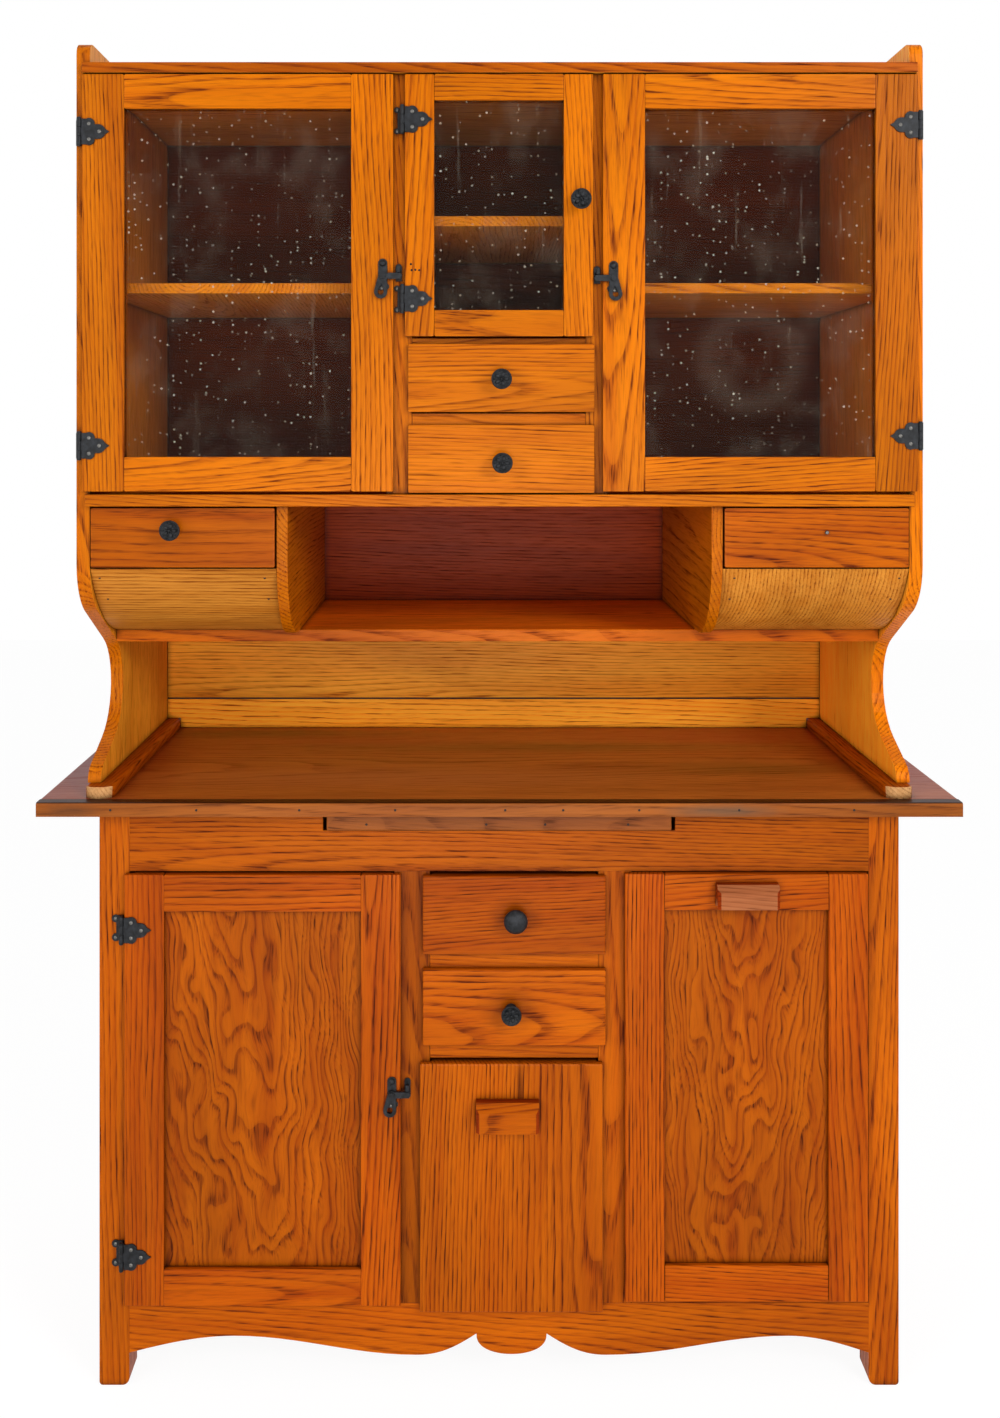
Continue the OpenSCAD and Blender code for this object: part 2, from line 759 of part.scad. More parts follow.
module upper_foot_strips() {
    r = strip_w / 2.4;
    len = upper_d - strip_setback;
    color(oak)
        pair()
            translate([half_up - strip_w, up_y + strip_setback, worktop_z])
                intersection() {
                    linear_extrude(strip_h) {
                        translate([r, r]) circle(r);
                        translate([strip_w - r, r]) circle(r);
                        translate([r, 0]) square([strip_w - 2 * r, len]);
                        translate([0, r]) square([strip_w, len - r]);
                    }
                    translate([0, len, 0]) rotate([90, 0, 0])
                        linear_extrude(len) strip_section(strip_w, strip_h, strip_round);
                }
}

// A foot strip's section, with its top edges rounded to radius r
module strip_section(w, h, r) {
    square([w, h - r]);
    translate([r, 0]) square([w - 2 * r, h]);
    for (x = [r, w - r]) translate([x, h - r]) circle(r);
}

nosing_side = half_up - 10;

module upper_top_board() {
    color(oak) {
        board(-half_up_in, half_up_in, up_y, back_y + back_t, top_under, top_board_z);
        board(-nosing_side, nosing_side, up_y - lip_t, up_y, top_under, top_board_z);
    }
}

floor_nosing_side = half_up - 14;

module upper_case_floor() {
    color(oak) {
        board(-half_up_in, half_up_in, up_y, back_y, case_floor_z, case_floor_top);
        board(-floor_nosing_side, floor_nosing_side, up_y - lip_t, up_y, case_floor_z, case_floor_top);
    }
}

module upper_dividers() {
    color(oak)
        for (d = [[div_a0, div_a1], [div_b0, div_b1]]) {
            board(d[0], d[1], up_y, up_y + frame_t, case_floor_top, top_under);
            mid = (d[0] + d[1]) / 2;
            board(mid - partition_t / 2, mid + partition_t / 2, up_y + frame_t + joint_gap, back_y,
                case_floor_top, top_under);
        }
}

div_mid_a = (div_a0 + div_a1) / 2 + partition_t / 2;
div_mid_b = (div_b0 + div_b1) / 2 - partition_t / 2;

// Rails round the centre drawers, with the board under the middle cupboard,
// the runners of the centre drawer and the boards under the side drawers
module upper_drawer_rails() {
    runner_w = 16;
    runner_t = 12;
    color(oak) {
        board(div_a1, div_b0, up_y, up_y + frame_t, rail_c_z, rail_c_top);
        board(div_a1, div_b0, up_y, up_y + frame_t, rail_d_z, rail_d_top);
        board(div_mid_a, div_mid_b, up_y + frame_t + joint_gap, back_y, rail_c_top - runner_t,
            rail_c_top);
        for (x = [[div_mid_a, div_a1 + runner_w], [div_b0 - runner_w, div_mid_b]])
            board(x[0], x[1], up_y + frame_t + joint_gap, back_y, rail_d_top - runner_t, rail_d_top);
        pair()
            board(side_x0, half_up_in, up_y + dust_setback, back_y, dust_top - dust_t, dust_top);
    }
}

module upper_shelves() {
    shelf_y = up_y + 40;
    color(oak) {
        board(-half_up_in, div_mid_a - partition_t, shelf_y, back_y, big_shelf_z - shelf_t, big_shelf_z);
        board(div_mid_a, div_mid_b, shelf_y, back_y, mid_shelf_z - shelf_t, mid_shelf_z);
        board(div_mid_b + partition_t, half_up_in, shelf_y, back_y, big_shelf_z - shelf_t, big_shelf_z);
    }
}

module upper_back() {
    color(oak_dark)
        board(-half_up_in, half_up_in, back_y, back_y + back_t, nook_shelf_z, top_under);
}

module nook_shelf() {
    color(oak)
        board(-half_up_in, half_up_in, up_y + nook_setback, back_y + back_t,
            nook_shelf_z - nook_shelf_t, nook_shelf_z);
}

nook_r = 112.5;

module nook_partitions() {
    color(oak)
        pair() side_plate(half_nook, nook_side_t)
            polygon(concat([[back_y, nook_shelf_z], [back_y, case_floor_z], [up_y, case_floor_z]],
                arc(up_y + nook_r, nook_shelf_z + nook_r, nook_r, 180, 270)));
}

// A thin panel bent under each side drawer, from the drawer down to the shelf
module bent_panels() {
    p = [up_y - side_drawer_proud + lip_t - bent_t, dust_top];
    q = [up_y + nook_setback, nook_shelf_z];
    c = centre_of(p, q, bent_r);
    a0 = atan2(p[1] - c[1], p[0] - c[0]);
    a1 = atan2(q[1] - c[1], q[0] - c[0]);
    spare = 3;
    outer = arc(c[0], c[1], bent_r, a0 - spare, a1 + spare);
    inner = arc(c[0], c[1], bent_r - bent_t, a1 + spare, a0 - spare);
    color(oak)
        pair() side_plate(side_x0, half_up_in - side_x0)
            intersection() {
                polygon(concat(outer, inner));
                translate([up_y - lip_t, nook_shelf_z]) square([upper_d, dust_top - nook_shelf_z]);
            }
}

module lower_back_boards() {
    split = worktop_z + low_board_h;
    color(oak) {
        difference() {
            board(-half_up_in, half_up_in, back_y, back_y + back_t, worktop_z, split);
            pair()
                board(half_up - strip_w, half_up, back_y - 1, up_back, worktop_z - 1, strip_top);
        }
        board(-half_up_in, half_up_in, back_y, back_y + back_t, split + 1,
            nook_shelf_z - nook_shelf_t);
    }
}

// Iron fittings

// The wide leaf's outline: two round lobes, then one lobe that ends in a point
module wide_leaf() {
    h = hinge_h / 2;
    lobe_r = h * 0.41;
    nose_x = leaf_w * 0.6;
    nose_r = h * 0.54;
    translate([0, 1 - h]) square([leaf_w * 0.27, hinge_h - 2]);
    for (s = [-1, 1]) translate([leaf_w * 0.27, s * (h - lobe_r)]) circle(lobe_r);
    translate([0, -nose_r]) square([nose_x, 2 * nose_r]);
    translate([nose_x, 0]) circle(nose_r);
    polygon([[nose_x + nose_r * 0.5, -nose_r * 0.85], [leaf_w * 0.86, -nose_r * 0.32], [leaf_w, 0],
        [leaf_w * 0.86, nose_r * 0.32], [nose_x + nose_r * 0.5, nose_r * 0.85]]);
}

// The narrow leaf's outline, with a lobe above and below a hollow edge
module narrow_leaf(w) {
    h = hinge_h / 2;
    if (w > 9)
        difference() {
            union() {
                translate([-w * 0.6, -h + 1]) square([w * 0.6, hinge_h - 2]);
                for (s = [-1, 1])
                    translate([-w * 0.66, s * (h - w * 0.34)]) circle(w * 0.34);
            }
            translate([-w - 2, 0]) circle(w * 0.5);
        }
    else
        translate([-w, -h + 1]) square([w, hinge_h - 2]);
}

// Moves a hinge to the edge x of a front, at height z; s is 1 where the front
// is on the right of the hinge, and -1 where it is on the left
module at_hinge(x, z, y, s) {
    translate([x - s * barrel_x, y - lip_t - leaf_t / 2, z])
        mirror([s < 0 ? 1 : 0, 0, 0]) children();
}

module moving_leaf() {
    difference() {
        union() {
            translate([barrel_x, 0, 0])
                front_plate(leaf_t / 2, leaf_t)
                    wide_leaf();
            board(0, barrel_x + 1, -leaf_t / 2, leaf_t / 2, -knuckle_h / 2, knuckle_h / 2);
            translate([0, 0, -knuckle_h / 2]) cylinder(r = barrel_r, h = knuckle_h);
        }
        cylinder(r = pin_r + pin_gap, h = 2 * hinge_h, center = true);
    }
}

// A fixed leaf with its two knuckles and the pin. The leaf is stepped back from
// the barrel to the frame, by the depth of the front's lip.
module fixed_leaf(w) {
    frame_face = leaf_t / 2 + lip_t;
    k0 = knuckle_h / 2 + knuckle_gap;
    k1 = hinge_h / 2;
    difference() {
        union() {
            front_plate(frame_face, leaf_t) narrow_leaf(w);
            board(-leaf_t / 2, leaf_t / 2, barrel_r + knuckle_gap, frame_face, -k1 + 1, k1 - 1);
            for (z = [k0, -k1]) {
                board(-leaf_t / 2, leaf_t / 2, 0, barrel_r + knuckle_gap, z, z + k1 - k0);
                translate([0, 0, z]) cylinder(r = barrel_r, h = k1 - k0);
            }
        }
        cylinder(r = pin_r, h = 2 * hinge_h, center = true);
    }
    cylinder(r = pin_r, h = hinge_h, center = true);
    for (z = [k1, -k1 - 1.4])
        translate([0, 0, z]) cylinder(r = barrel_r * 0.8, h = 1.4);
}

side_leaf_w = left_door_x0 - barrel_x + half_up;

module hinge_leaves_and_pins() {
    color(iron) {
        for (z = left_hinge_z) at_hinge(left_door_x0, z, up_y, 1) fixed_leaf(side_leaf_w);
        for (z = right_hinge_z) at_hinge(right_door_x1, z, up_y, -1) fixed_leaf(side_leaf_w);
        for (z = mid_hinge_z)
            at_hinge(mid_door_x0, z, up_y, 1) fixed_leaf(narrow_leaf_w - 4);
        for (z = base_hinge_z)
            at_hinge(base_door_x0, z, base_y, 1) fixed_leaf(narrow_leaf_w);
    }
}

// Moves a latch to its pivot on a front's face; s is 1 where the tongue points right
module at_latch(p, y, s) {
    translate([p[0], y - lip_t, p[1]]) mirror([s < 0 ? 1 : 0, 0, 0]) children();
}

lever_back = leaf_t + 0.6;
lever_t = 3;
hub_r = 5.5;
ring_x = -2.5;
stud_gap = 0.08;

// A latch's mount: a plate with the pivot stud and its head
module latch_mount() {
    front_plate(0, leaf_t) {
        translate([0, 17]) circle(6);
        translate([-6, -14]) square([12, 31]);
        for (s = [-1, 1]) translate([4 * s, -14]) circle(4.5);
    }
    rotate([90, 0, 0]) {
        cylinder(r = stud_r, h = lever_back + lever_t + 0.6);
        translate([0, 0, lever_back + lever_t + 0.3]) cylinder(r = stud_r + 1.8, h = 1.8);
    }
}

// A latch lever: the tongue, the hub and the drop with its ring
module latch_lever() {
    front_plate(-lever_back, lever_t)
        difference() {
            union() {
                hull() {
                    circle(hub_r);
                    translate([ring_x, ring_r - lever_len]) circle(ring_r);
                }
                translate([0, -tongue_h / 2]) square([tongue_len - 2, tongue_h]);
                translate([tongue_len - 3, 0]) circle(tongue_h * 0.36);
            }
            circle(stud_r + stud_gap);
            hull() {
                translate([ring_x, ring_r - lever_len]) circle(ring_r * 0.46);
                translate([ring_x / 2, -lever_len * 0.4]) circle(ring_r * 0.15);
            }
        }
}

// A keeper on the frame: a plate with a round head, and a finger over the tongue's path
module keeper() {
    z0 = tongue_h / 2 + keeper_gap;
    x = tongue_len - keeper_w / 2 - 1;
    front_plate(lip_t, leaf_t) {
        translate([x - keeper_w / 2, -6]) square([keeper_w, z0 + 14]);
        translate([x, z0 + 8]) circle(keeper_w / 2);
    }
    board(x - 2, x + 2, -lever_back - lever_t, lip_t - leaf_t, z0, z0 + 4);
    board(x - 2, x + 2, -lever_back - lever_t, -lever_back, z0 + 4, z0 + 8);
}

module latch_keepers() {
    color(iron) {
        at_latch(left_latch, up_y, 1) keeper();
        at_latch(right_latch, up_y, -1) keeper();
        at_latch(base_latch, base_y, 1) keeper();
    }
}

// Upper left door

module left_door_frame() {
    color(oak)
        glazed_frame(left_door_x0, left_door_x1, up_door_z0, up_door_z1, up_y, big_stile_w, big_rail_h);
}

module left_door_glass() {
    color(glass)
        sheet(left_door_x0, left_door_x1, up_door_z0, up_door_z1, up_y, big_stile_w, big_rail_h,
            glass_y, glass_t);
}

module left_door_irons() {
    color(iron) {
        for (z = left_hinge_z) at_hinge(left_door_x0, z, up_y, 1) moving_leaf();
        at_latch(left_latch, up_y, 1) latch_mount();
    }
}

module left_latch_lever() {
    color(iron) at_latch(left_latch, up_y, 1) latch_lever();
}

// Upper middle door

module middle_door_frame() {
    color(oak)
        glazed_frame(mid_door_x0, mid_door_x1, mid_door_z, up_door_z1, up_y, mid_stile_w, mid_rail_h);
}

module middle_door_glass() {
    color(glass)
        sheet(mid_door_x0, mid_door_x1, mid_door_z, up_door_z1, up_y, mid_stile_w, mid_rail_h,
            glass_y, glass_t);
}

module middle_door_irons() {
    color(iron)
        for (z = mid_hinge_z) at_hinge(mid_door_x0, z, up_y, 1) moving_leaf();
}

middle_knob_z = 1610;

module middle_door_knob() {
    color(iron) knob(mid_door_x1 - 17.5, up_y - lip_t, middle_knob_z, knob_r);
}

// Upper right door

module right_door_frame() {
    color(oak)
        glazed_frame(right_door_x0, right_door_x1, up_door_z0, up_door_z1, up_y, big_stile_w, big_rail_h);
}

module right_door_glass() {
    color(glass)
        sheet(right_door_x0, right_door_x1, up_door_z0, up_door_z1, up_y, big_stile_w, big_rail_h,
            glass_y, glass_t);
}

module right_door_irons() {
    color(iron) {
        for (z = right_hinge_z) at_hinge(right_door_x1, z, up_y, -1) moving_leaf();
        at_latch(right_latch, up_y, -1) latch_mount();
    }
}

module right_latch_lever() {
    color(iron) at_latch(right_latch, up_y, -1) latch_lever();
}

// Base door

door_panel_t = 6;
door_panel_y = 8;

module base_door_frame() {
    slot = base_y - lip_t + door_panel_y;
    color(oak)
        door_frame(base_door_x0, base_door_x1, base_door_z0, base_door_z1, base_y,
            base_stile_w, base_rail_h, slot - joint_gap, slot + door_panel_t + joint_gap);
}

module base_door_panel() {
    color(oak)
        sheet(base_door_x0, base_door_x1, base_door_z0, base_door_z1, base_y,
            base_stile_w, base_rail_h, door_panel_y, door_panel_t);
}

module base_door_irons() {
    color(iron) {
        for (z = base_hinge_z) at_hinge(base_door_x0, z, base_y, 1) moving_leaf();
        at_latch(base_latch, base_y, 1) latch_mount();
    }
}

module base_latch_lever() {
    color(iron) at_latch(base_latch, base_y, 1) latch_lever();
}

// Drawers

upper_drawer_x0 = -122;
upper_drawer_x1 = 126;

module upper_drawer_top() {
    color(oak)
        drawer(upper_drawer_x0, upper_drawer_x1, drawer_c_z, drawer_c_top, up_y, centre_drawer_d);
}

module upper_knob_top() {
    color(iron) knob(2, up_y - lip_t, (drawer_c_z + drawer_c_top) / 2 - 2, knob_r);
}

module upper_drawer_low() {
    color(oak)
        drawer(upper_drawer_x0, upper_drawer_x1, drawer_d_z, drawer_d_top, up_y, centre_drawer_d);
}

module upper_knob_low() {
    color(iron) knob(3, up_y - lip_t, (drawer_d_z + drawer_d_top) / 2 - 5, knob_r);
}

// The fronts of the side drawers stand between their sides, without lips
module side_drawer(s) {
    x0 = s > 0 ? side_x0 + front_gap : -half_up_in + front_gap;
    x1 = s > 0 ? half_up_in - front_gap : -side_x0 - front_gap;
    drawer(x0, x1, side_drawer_z, side_drawer_top, side_front_y + lip_t, side_drawer_d, 0, 0);
}

side_knob_x = 437;
side_knob_z = (side_drawer_z + side_drawer_top) / 2 + 7;

module side_drawer_left() {
    color(oak) side_drawer(-1);
}

module side_knob_left() {
    color(iron) knob(-side_knob_x, side_front_y, side_knob_z + 4, knob_r);
}

module side_drawer_right() {
    color(oak) side_drawer(1);
}

// The right side drawer has lost its knob, and keeps the bolt
module side_bolt_right() {
    color(iron) {
        translate([side_knob_x, side_front_y, side_knob_z]) rotate([90, 0, 0]) cylinder(r = 2.4, h = 3);
    }
}

module base_drawer_top() {
    color(oak_dark)
        drawer(base_drawer_x0, base_drawer_x1, drawer_a_z, drawer_a_top, base_y, base_drawer_d, 1, 0);
}

module base_knob_top() {
    color(iron) knob(22, base_y - lip_t, (drawer_a_z + drawer_a_top) / 2 - 3, smooth_knob_r, 6);
}

module base_drawer_low() {
    color(oak)
        drawer(base_drawer_x0, base_drawer_x1, drawer_b_z, drawer_b_top, base_y, base_drawer_d);
}

module base_knob_low() {
    color(iron) knob(16, base_y - lip_t, (drawer_b_z + drawer_b_top) / 2 - 2, knob_r);
}

// Tilting bins

short_bin_x0 = base_drawer_x0 - 4;
short_bin_x1 = base_drawer_x1 - 4;

module short_bin() {
    color(oak) {
        board(short_bin_x0, short_bin_x1, base_y - lip_t, base_y, bin_z, short_bin_top);
        board(mull_a1 + lip_gap, mull_b0 - lip_gap, base_y - eps, base_y + core_t,
            bin_z + inset, short_bin_top);
        bin_box(base_drawer_x0, base_drawer_x1, bin_z, short_bin_top, base_y, short_bin_d);
    }
}

module short_bin_pull() {
    color(oak_dark) wooden_pull(short_pull_x, short_bin_top - short_pull_drop, base_y - lip_t, short_pull_l, short_pull_h);
}

tall_bin_top = top_rail_z - 1;
tall_stile_w = 54;
tall_rail_h = 49;

module tall_bin_front() {
    slot = base_y - lip_t + door_panel_y;
    color(oak) {
        door_frame(tall_bin_x0, tall_bin_x1, tall_bin_z, tall_bin_top, base_y, tall_stile_w,
            tall_rail_h, slot - joint_gap, slot + door_panel_t + joint_gap, 1);
        sheet(tall_bin_x0, tall_bin_x1, tall_bin_z, tall_bin_top, base_y, tall_stile_w,
            tall_rail_h, door_panel_y, door_panel_t);
    }
}

module tall_bin_box() {
    color(oak_dark) bin_box(tall_bin_x0, tall_bin_x1, tall_bin_z, tall_bin_top, base_y, tall_bin_d);
}

module tall_bin_pull() {
    color(oak_dark) wooden_pull(tall_pull_x, tall_bin_top - tall_pull_drop, base_y - lip_t, tall_pull_l, tall_pull_h);
}

bread_proud = 3;

module bread_board() {
    color(oak_dark)
        board(-bread_w / 2, bread_w / 2, base_y - bread_proud, base_y - bread_proud + bread_d,
            bread_z, bread_z + bread_t);
}

base_legs();
base_sides();
base_back_panel();
base_floor();
base_top_rail();
base_scalloped_rail();
base_front_dividers();
base_partitions();
base_shelf();
base_runners();
worktop();
worktop_edge_strip();
upper_sides();
upper_foot_strips();
upper_top_board();
upper_case_floor();
upper_dividers();
upper_drawer_rails();
upper_shelves();
upper_back();
nook_shelf();
nook_partitions();
bent_panels();
lower_back_boards();
hinge_leaves_and_pins();
latch_keepers();
left_door_frame();
left_door_glass();
left_door_irons();
left_latch_lever();
middle_door_frame();
middle_door_glass();
middle_door_irons();
middle_door_knob();
right_door_frame();
right_door_glass();
right_door_irons();
right_latch_lever();
base_door_frame();
base_door_panel();
base_door_irons();
base_latch_lever();
upper_drawer_top();
upper_knob_top();
upper_drawer_low();
upper_knob_low();
side_drawer_left();
side_knob_left();
side_drawer_right();
side_bolt_right();
base_drawer_top();
base_knob_top();
base_drawer_low();
base_knob_low();
short_bin();
short_bin_pull();
tall_bin_front();
tall_bin_box();
tall_bin_pull();
bread_board();
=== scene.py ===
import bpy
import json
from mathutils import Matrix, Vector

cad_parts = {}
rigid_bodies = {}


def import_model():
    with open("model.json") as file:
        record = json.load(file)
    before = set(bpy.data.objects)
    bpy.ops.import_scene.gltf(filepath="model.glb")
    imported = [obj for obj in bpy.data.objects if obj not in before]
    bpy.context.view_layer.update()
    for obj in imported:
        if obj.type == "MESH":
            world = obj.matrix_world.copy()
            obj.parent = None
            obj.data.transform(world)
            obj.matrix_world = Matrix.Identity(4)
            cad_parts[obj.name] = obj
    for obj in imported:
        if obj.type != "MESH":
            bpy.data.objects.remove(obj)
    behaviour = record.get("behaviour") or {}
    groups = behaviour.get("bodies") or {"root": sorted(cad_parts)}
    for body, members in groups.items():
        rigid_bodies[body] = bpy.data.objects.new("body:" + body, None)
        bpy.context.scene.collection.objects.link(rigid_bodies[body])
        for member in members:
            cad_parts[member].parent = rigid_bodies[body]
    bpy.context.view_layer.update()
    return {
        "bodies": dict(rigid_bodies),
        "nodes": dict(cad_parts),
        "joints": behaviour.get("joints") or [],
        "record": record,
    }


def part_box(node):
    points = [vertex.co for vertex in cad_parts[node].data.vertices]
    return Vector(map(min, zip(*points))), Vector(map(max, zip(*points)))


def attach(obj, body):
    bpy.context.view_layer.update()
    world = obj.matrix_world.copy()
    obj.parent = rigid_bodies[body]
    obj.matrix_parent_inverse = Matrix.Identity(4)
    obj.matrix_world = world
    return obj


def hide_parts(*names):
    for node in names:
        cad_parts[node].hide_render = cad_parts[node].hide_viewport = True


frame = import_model()
print("frame loaded")

import json
import math
import random

import bmesh
import bpy
from mathutils import Matrix, Vector
from mathutils.bvhtree import BVHTree

nodes = frame["nodes"]


# Camera: a little left of centre, level with the lower hinges of the glazed doors

camera = {
    "place": (-0.0394, -1.968, 1.3117),
    "pitch": 0,  # degrees down
    "lens": 33.16,
    "shiftX": 0.021,
    "shiftY": -0.2003,
}


def makeCamera():
    data = bpy.data.cameras.new("camera")
    data.lens = camera["lens"]
    data.sensor_width = 36
    data.shift_x = camera["shiftX"]
    data.shift_y = camera["shiftY"]
    view = bpy.data.objects.new("camera", data)
    view.location = camera["place"]
    view.rotation_euler = (math.radians(90 - camera["pitch"]), 0, 0)
    bpy.context.collection.objects.link(view)
    bpy.context.scene.camera = view


makeCamera()
print("camera set")


# Small helpers for node trees


def shade(red, green, blue):
    return tuple((c / 255) ** 2.2 for c in (red, green, blue)) + (1,)


def addNode(tree, kind, values=None, **settings):
    node = tree.nodes.new("ShaderNode" + kind)
    for key, value in settings.items():
        setattr(node, key, value)
    for socket, value in (values or {}).items():
        if isinstance(value, bpy.types.NodeSocket):
            tree.links.new(value, node.inputs[socket])
        else:
            node.inputs[socket].default_value = value
    return node


def newMaterial(name):
    material = bpy.data.materials.new(name)
    material.use_nodes = True
    tree = material.node_tree
    return material, tree, tree.nodes["Principled BSDF"]


def ramp(tree, value, stops):
    node = addNode(tree, "ValToRGB", {"Fac": value})
    band = node.color_ramp
    while len(band.elements) < len(stops):
        band.elements.new(0.5)
    for element, (place, level) in zip(band.elements, stops):
        element.position = place
        element.color = level if isinstance(level, tuple) else (level, level, level, 1)
    return node.outputs["Color"]


def calc(tree, operation, a, b, clamp=False):
    return addNode(tree, "Math", {0: a, 1: b}, operation=operation, use_clamp=clamp).outputs[0]


def noise(tree, vector, scale, detail=2.0, lean=0.5):
    place = addNode(tree, "Mapping", {"Vector": vector, "Scale": scale}).outputs[0]
    values = {"Vector": place, "Scale": 1.0, "Detail": detail, "Roughness": lean}
    return addNode(tree, "TexNoise", values)


def wander(tree, source, place, scale, reach):
    drift = noise(tree, source, scale, 1.0).outputs["Color"]
    middle = addNode(tree, "VectorMath", {0: drift, 1: (0.5, 0.5, 0.5)}, operation="SUBTRACT").outputs[0]
    shift = addNode(tree, "VectorMath", {0: middle, "Scale": reach}, operation="SCALE").outputs[0]
    return addNode(tree, "VectorMath", {0: place, 1: shift}, operation="ADD").outputs[0]


# Studio: a pale floor, a white surround and soft lamps

studio = {
    "floorSize": 12.0,
    "floorColour": (0.86, 0.86, 0.86, 1),
    "floorRoughness": 0.9,
    "floorGlow": 1.08,
    "floorWhiteness": 0.85,  # the share of that glow that the camera sees
    "ambient": 0.46,
    "lamps": {
        "key": {"place": (2.4, -3.2, 2.6), "size": 1.6, "power": 72},
        "fill": {"place": (-3.0, -3.2, 2.2), "size": 2.6, "power": 52},
        "low": {"place": (0.0, -3.4, 0.55), "size": 1.4, "power": 38},
    },
    "aim": (0, 0, 0.9),
}


def seenOrReflected(tree):
    path = addNode(tree, "LightPath").outputs
    seen = calc(tree, "MAXIMUM", path["Is Camera Ray"], path["Is Glossy Ray"])
    return calc(tree, "MAXIMUM", seen, path["Is Transmission Ray"])


def makeWorld():
    world = bpy.data.worlds.new("surround")
    bpy.context.scene.world = world
    world.use_nodes = True
    tree = world.node_tree
    tree.nodes.clear()
    ambient = addNode(tree, "Background", {"Color": (1, 1, 1, 1), "Strength": studio["ambient"]})
    white = addNode(tree, "Background", {"Color": (1, 1, 1, 1), "Strength": 1.0})
    both = {0: seenOrReflected(tree), 1: ambient.outputs[0], 2: white.outputs[0]}
    mix = addNode(tree, "MixShader", both)
    addNode(tree, "OutputWorld", {"Surface": mix.outputs[0]})


def makeFloor():
    shape = bmesh.new()
    bmesh.ops.create_grid(shape, x_segments=1, y_segments=1, size=studio["floorSize"] / 2)
    mesh = bpy.data.meshes.new("floor")
    shape.to_mesh(mesh)
    shape.free()
    floor = bpy.data.objects.new("floor", mesh)
    bpy.context.collection.objects.link(floor)
    material, tree, shader = newMaterial("floor")
    shader.inputs["Base Color"].default_value = studio["floorColour"]
    shader.inputs["Roughness"].default_value = studio["floorRoughness"]
    white = addNode(tree, "Emission", {"Color": (1, 1, 1, 1), "Strength": studio["floorGlow"]})
    part = calc(tree, "MULTIPLY", seenOrReflected(tree), studio["floorWhiteness"])
    both = {0: part, 1: shader.outputs[0], 2: white.outputs[0]}
    mix = addNode(tree, "MixShader", both)
    tree.links.new(mix.outputs[0], tree.nodes["Material Output"].inputs["Surface"])
    mesh.materials.append(material)


def makeLamps():
    for name, lamp in studio["lamps"].items():
        data = bpy.data.lights.new(name, "AREA")
        data.shape = "DISK"
        data.size = lamp["size"]
        data.energy = lamp["power"]
        light = bpy.data.objects.new(name, data)
        light.location = lamp["place"]
        towards = Vector(studio["aim"]) - Vector(lamp["place"])
        light.rotation_euler = towards.to_track_quat("-Z", "Y").to_euler()
        bpy.context.collection.objects.link(light)


makeWorld()
makeFloor()
makeLamps()
bpy.context.scene.view_settings.view_transform = "Standard"
print("studio set")


# Oak: one grain pattern in board coordinates, whose third axis runs along the grain

grain = {
    "rings": 60,  # wave scale; 0.314 / rings is the width of a year ring in metres
    "wanders": [((4, 4, 1.1), 0.045), ((28, 28, 5), 0.006)],  # noise scale, and how far the rings wander
    "panelWaves": ((24, 24, 9), 0.03),
    "pores": (620, 620, 26),
    "dashes": (260, 260, 9),
    "breaks": (90, 90, 12),  # where the dark lines fade
    "streaks": (42, 42, 1.6),
    "clouds": (8, 8, 2.5),
    "cloudDepth": (0.82, 1.1),
    "depths": {"pores": 0.55, "dashes": 0.6, "lines": 0.4},
    "roughness": (0.34, 0.62),
    "relief": 0.0003,
    "specular": 0.07,
}


def spots(tree, board, scale, detail, low, high, least=0.0):
    return ramp(tree, noise(tree, board, scale, detail).outputs["Fac"], [(low, least), (high, 1.0)])


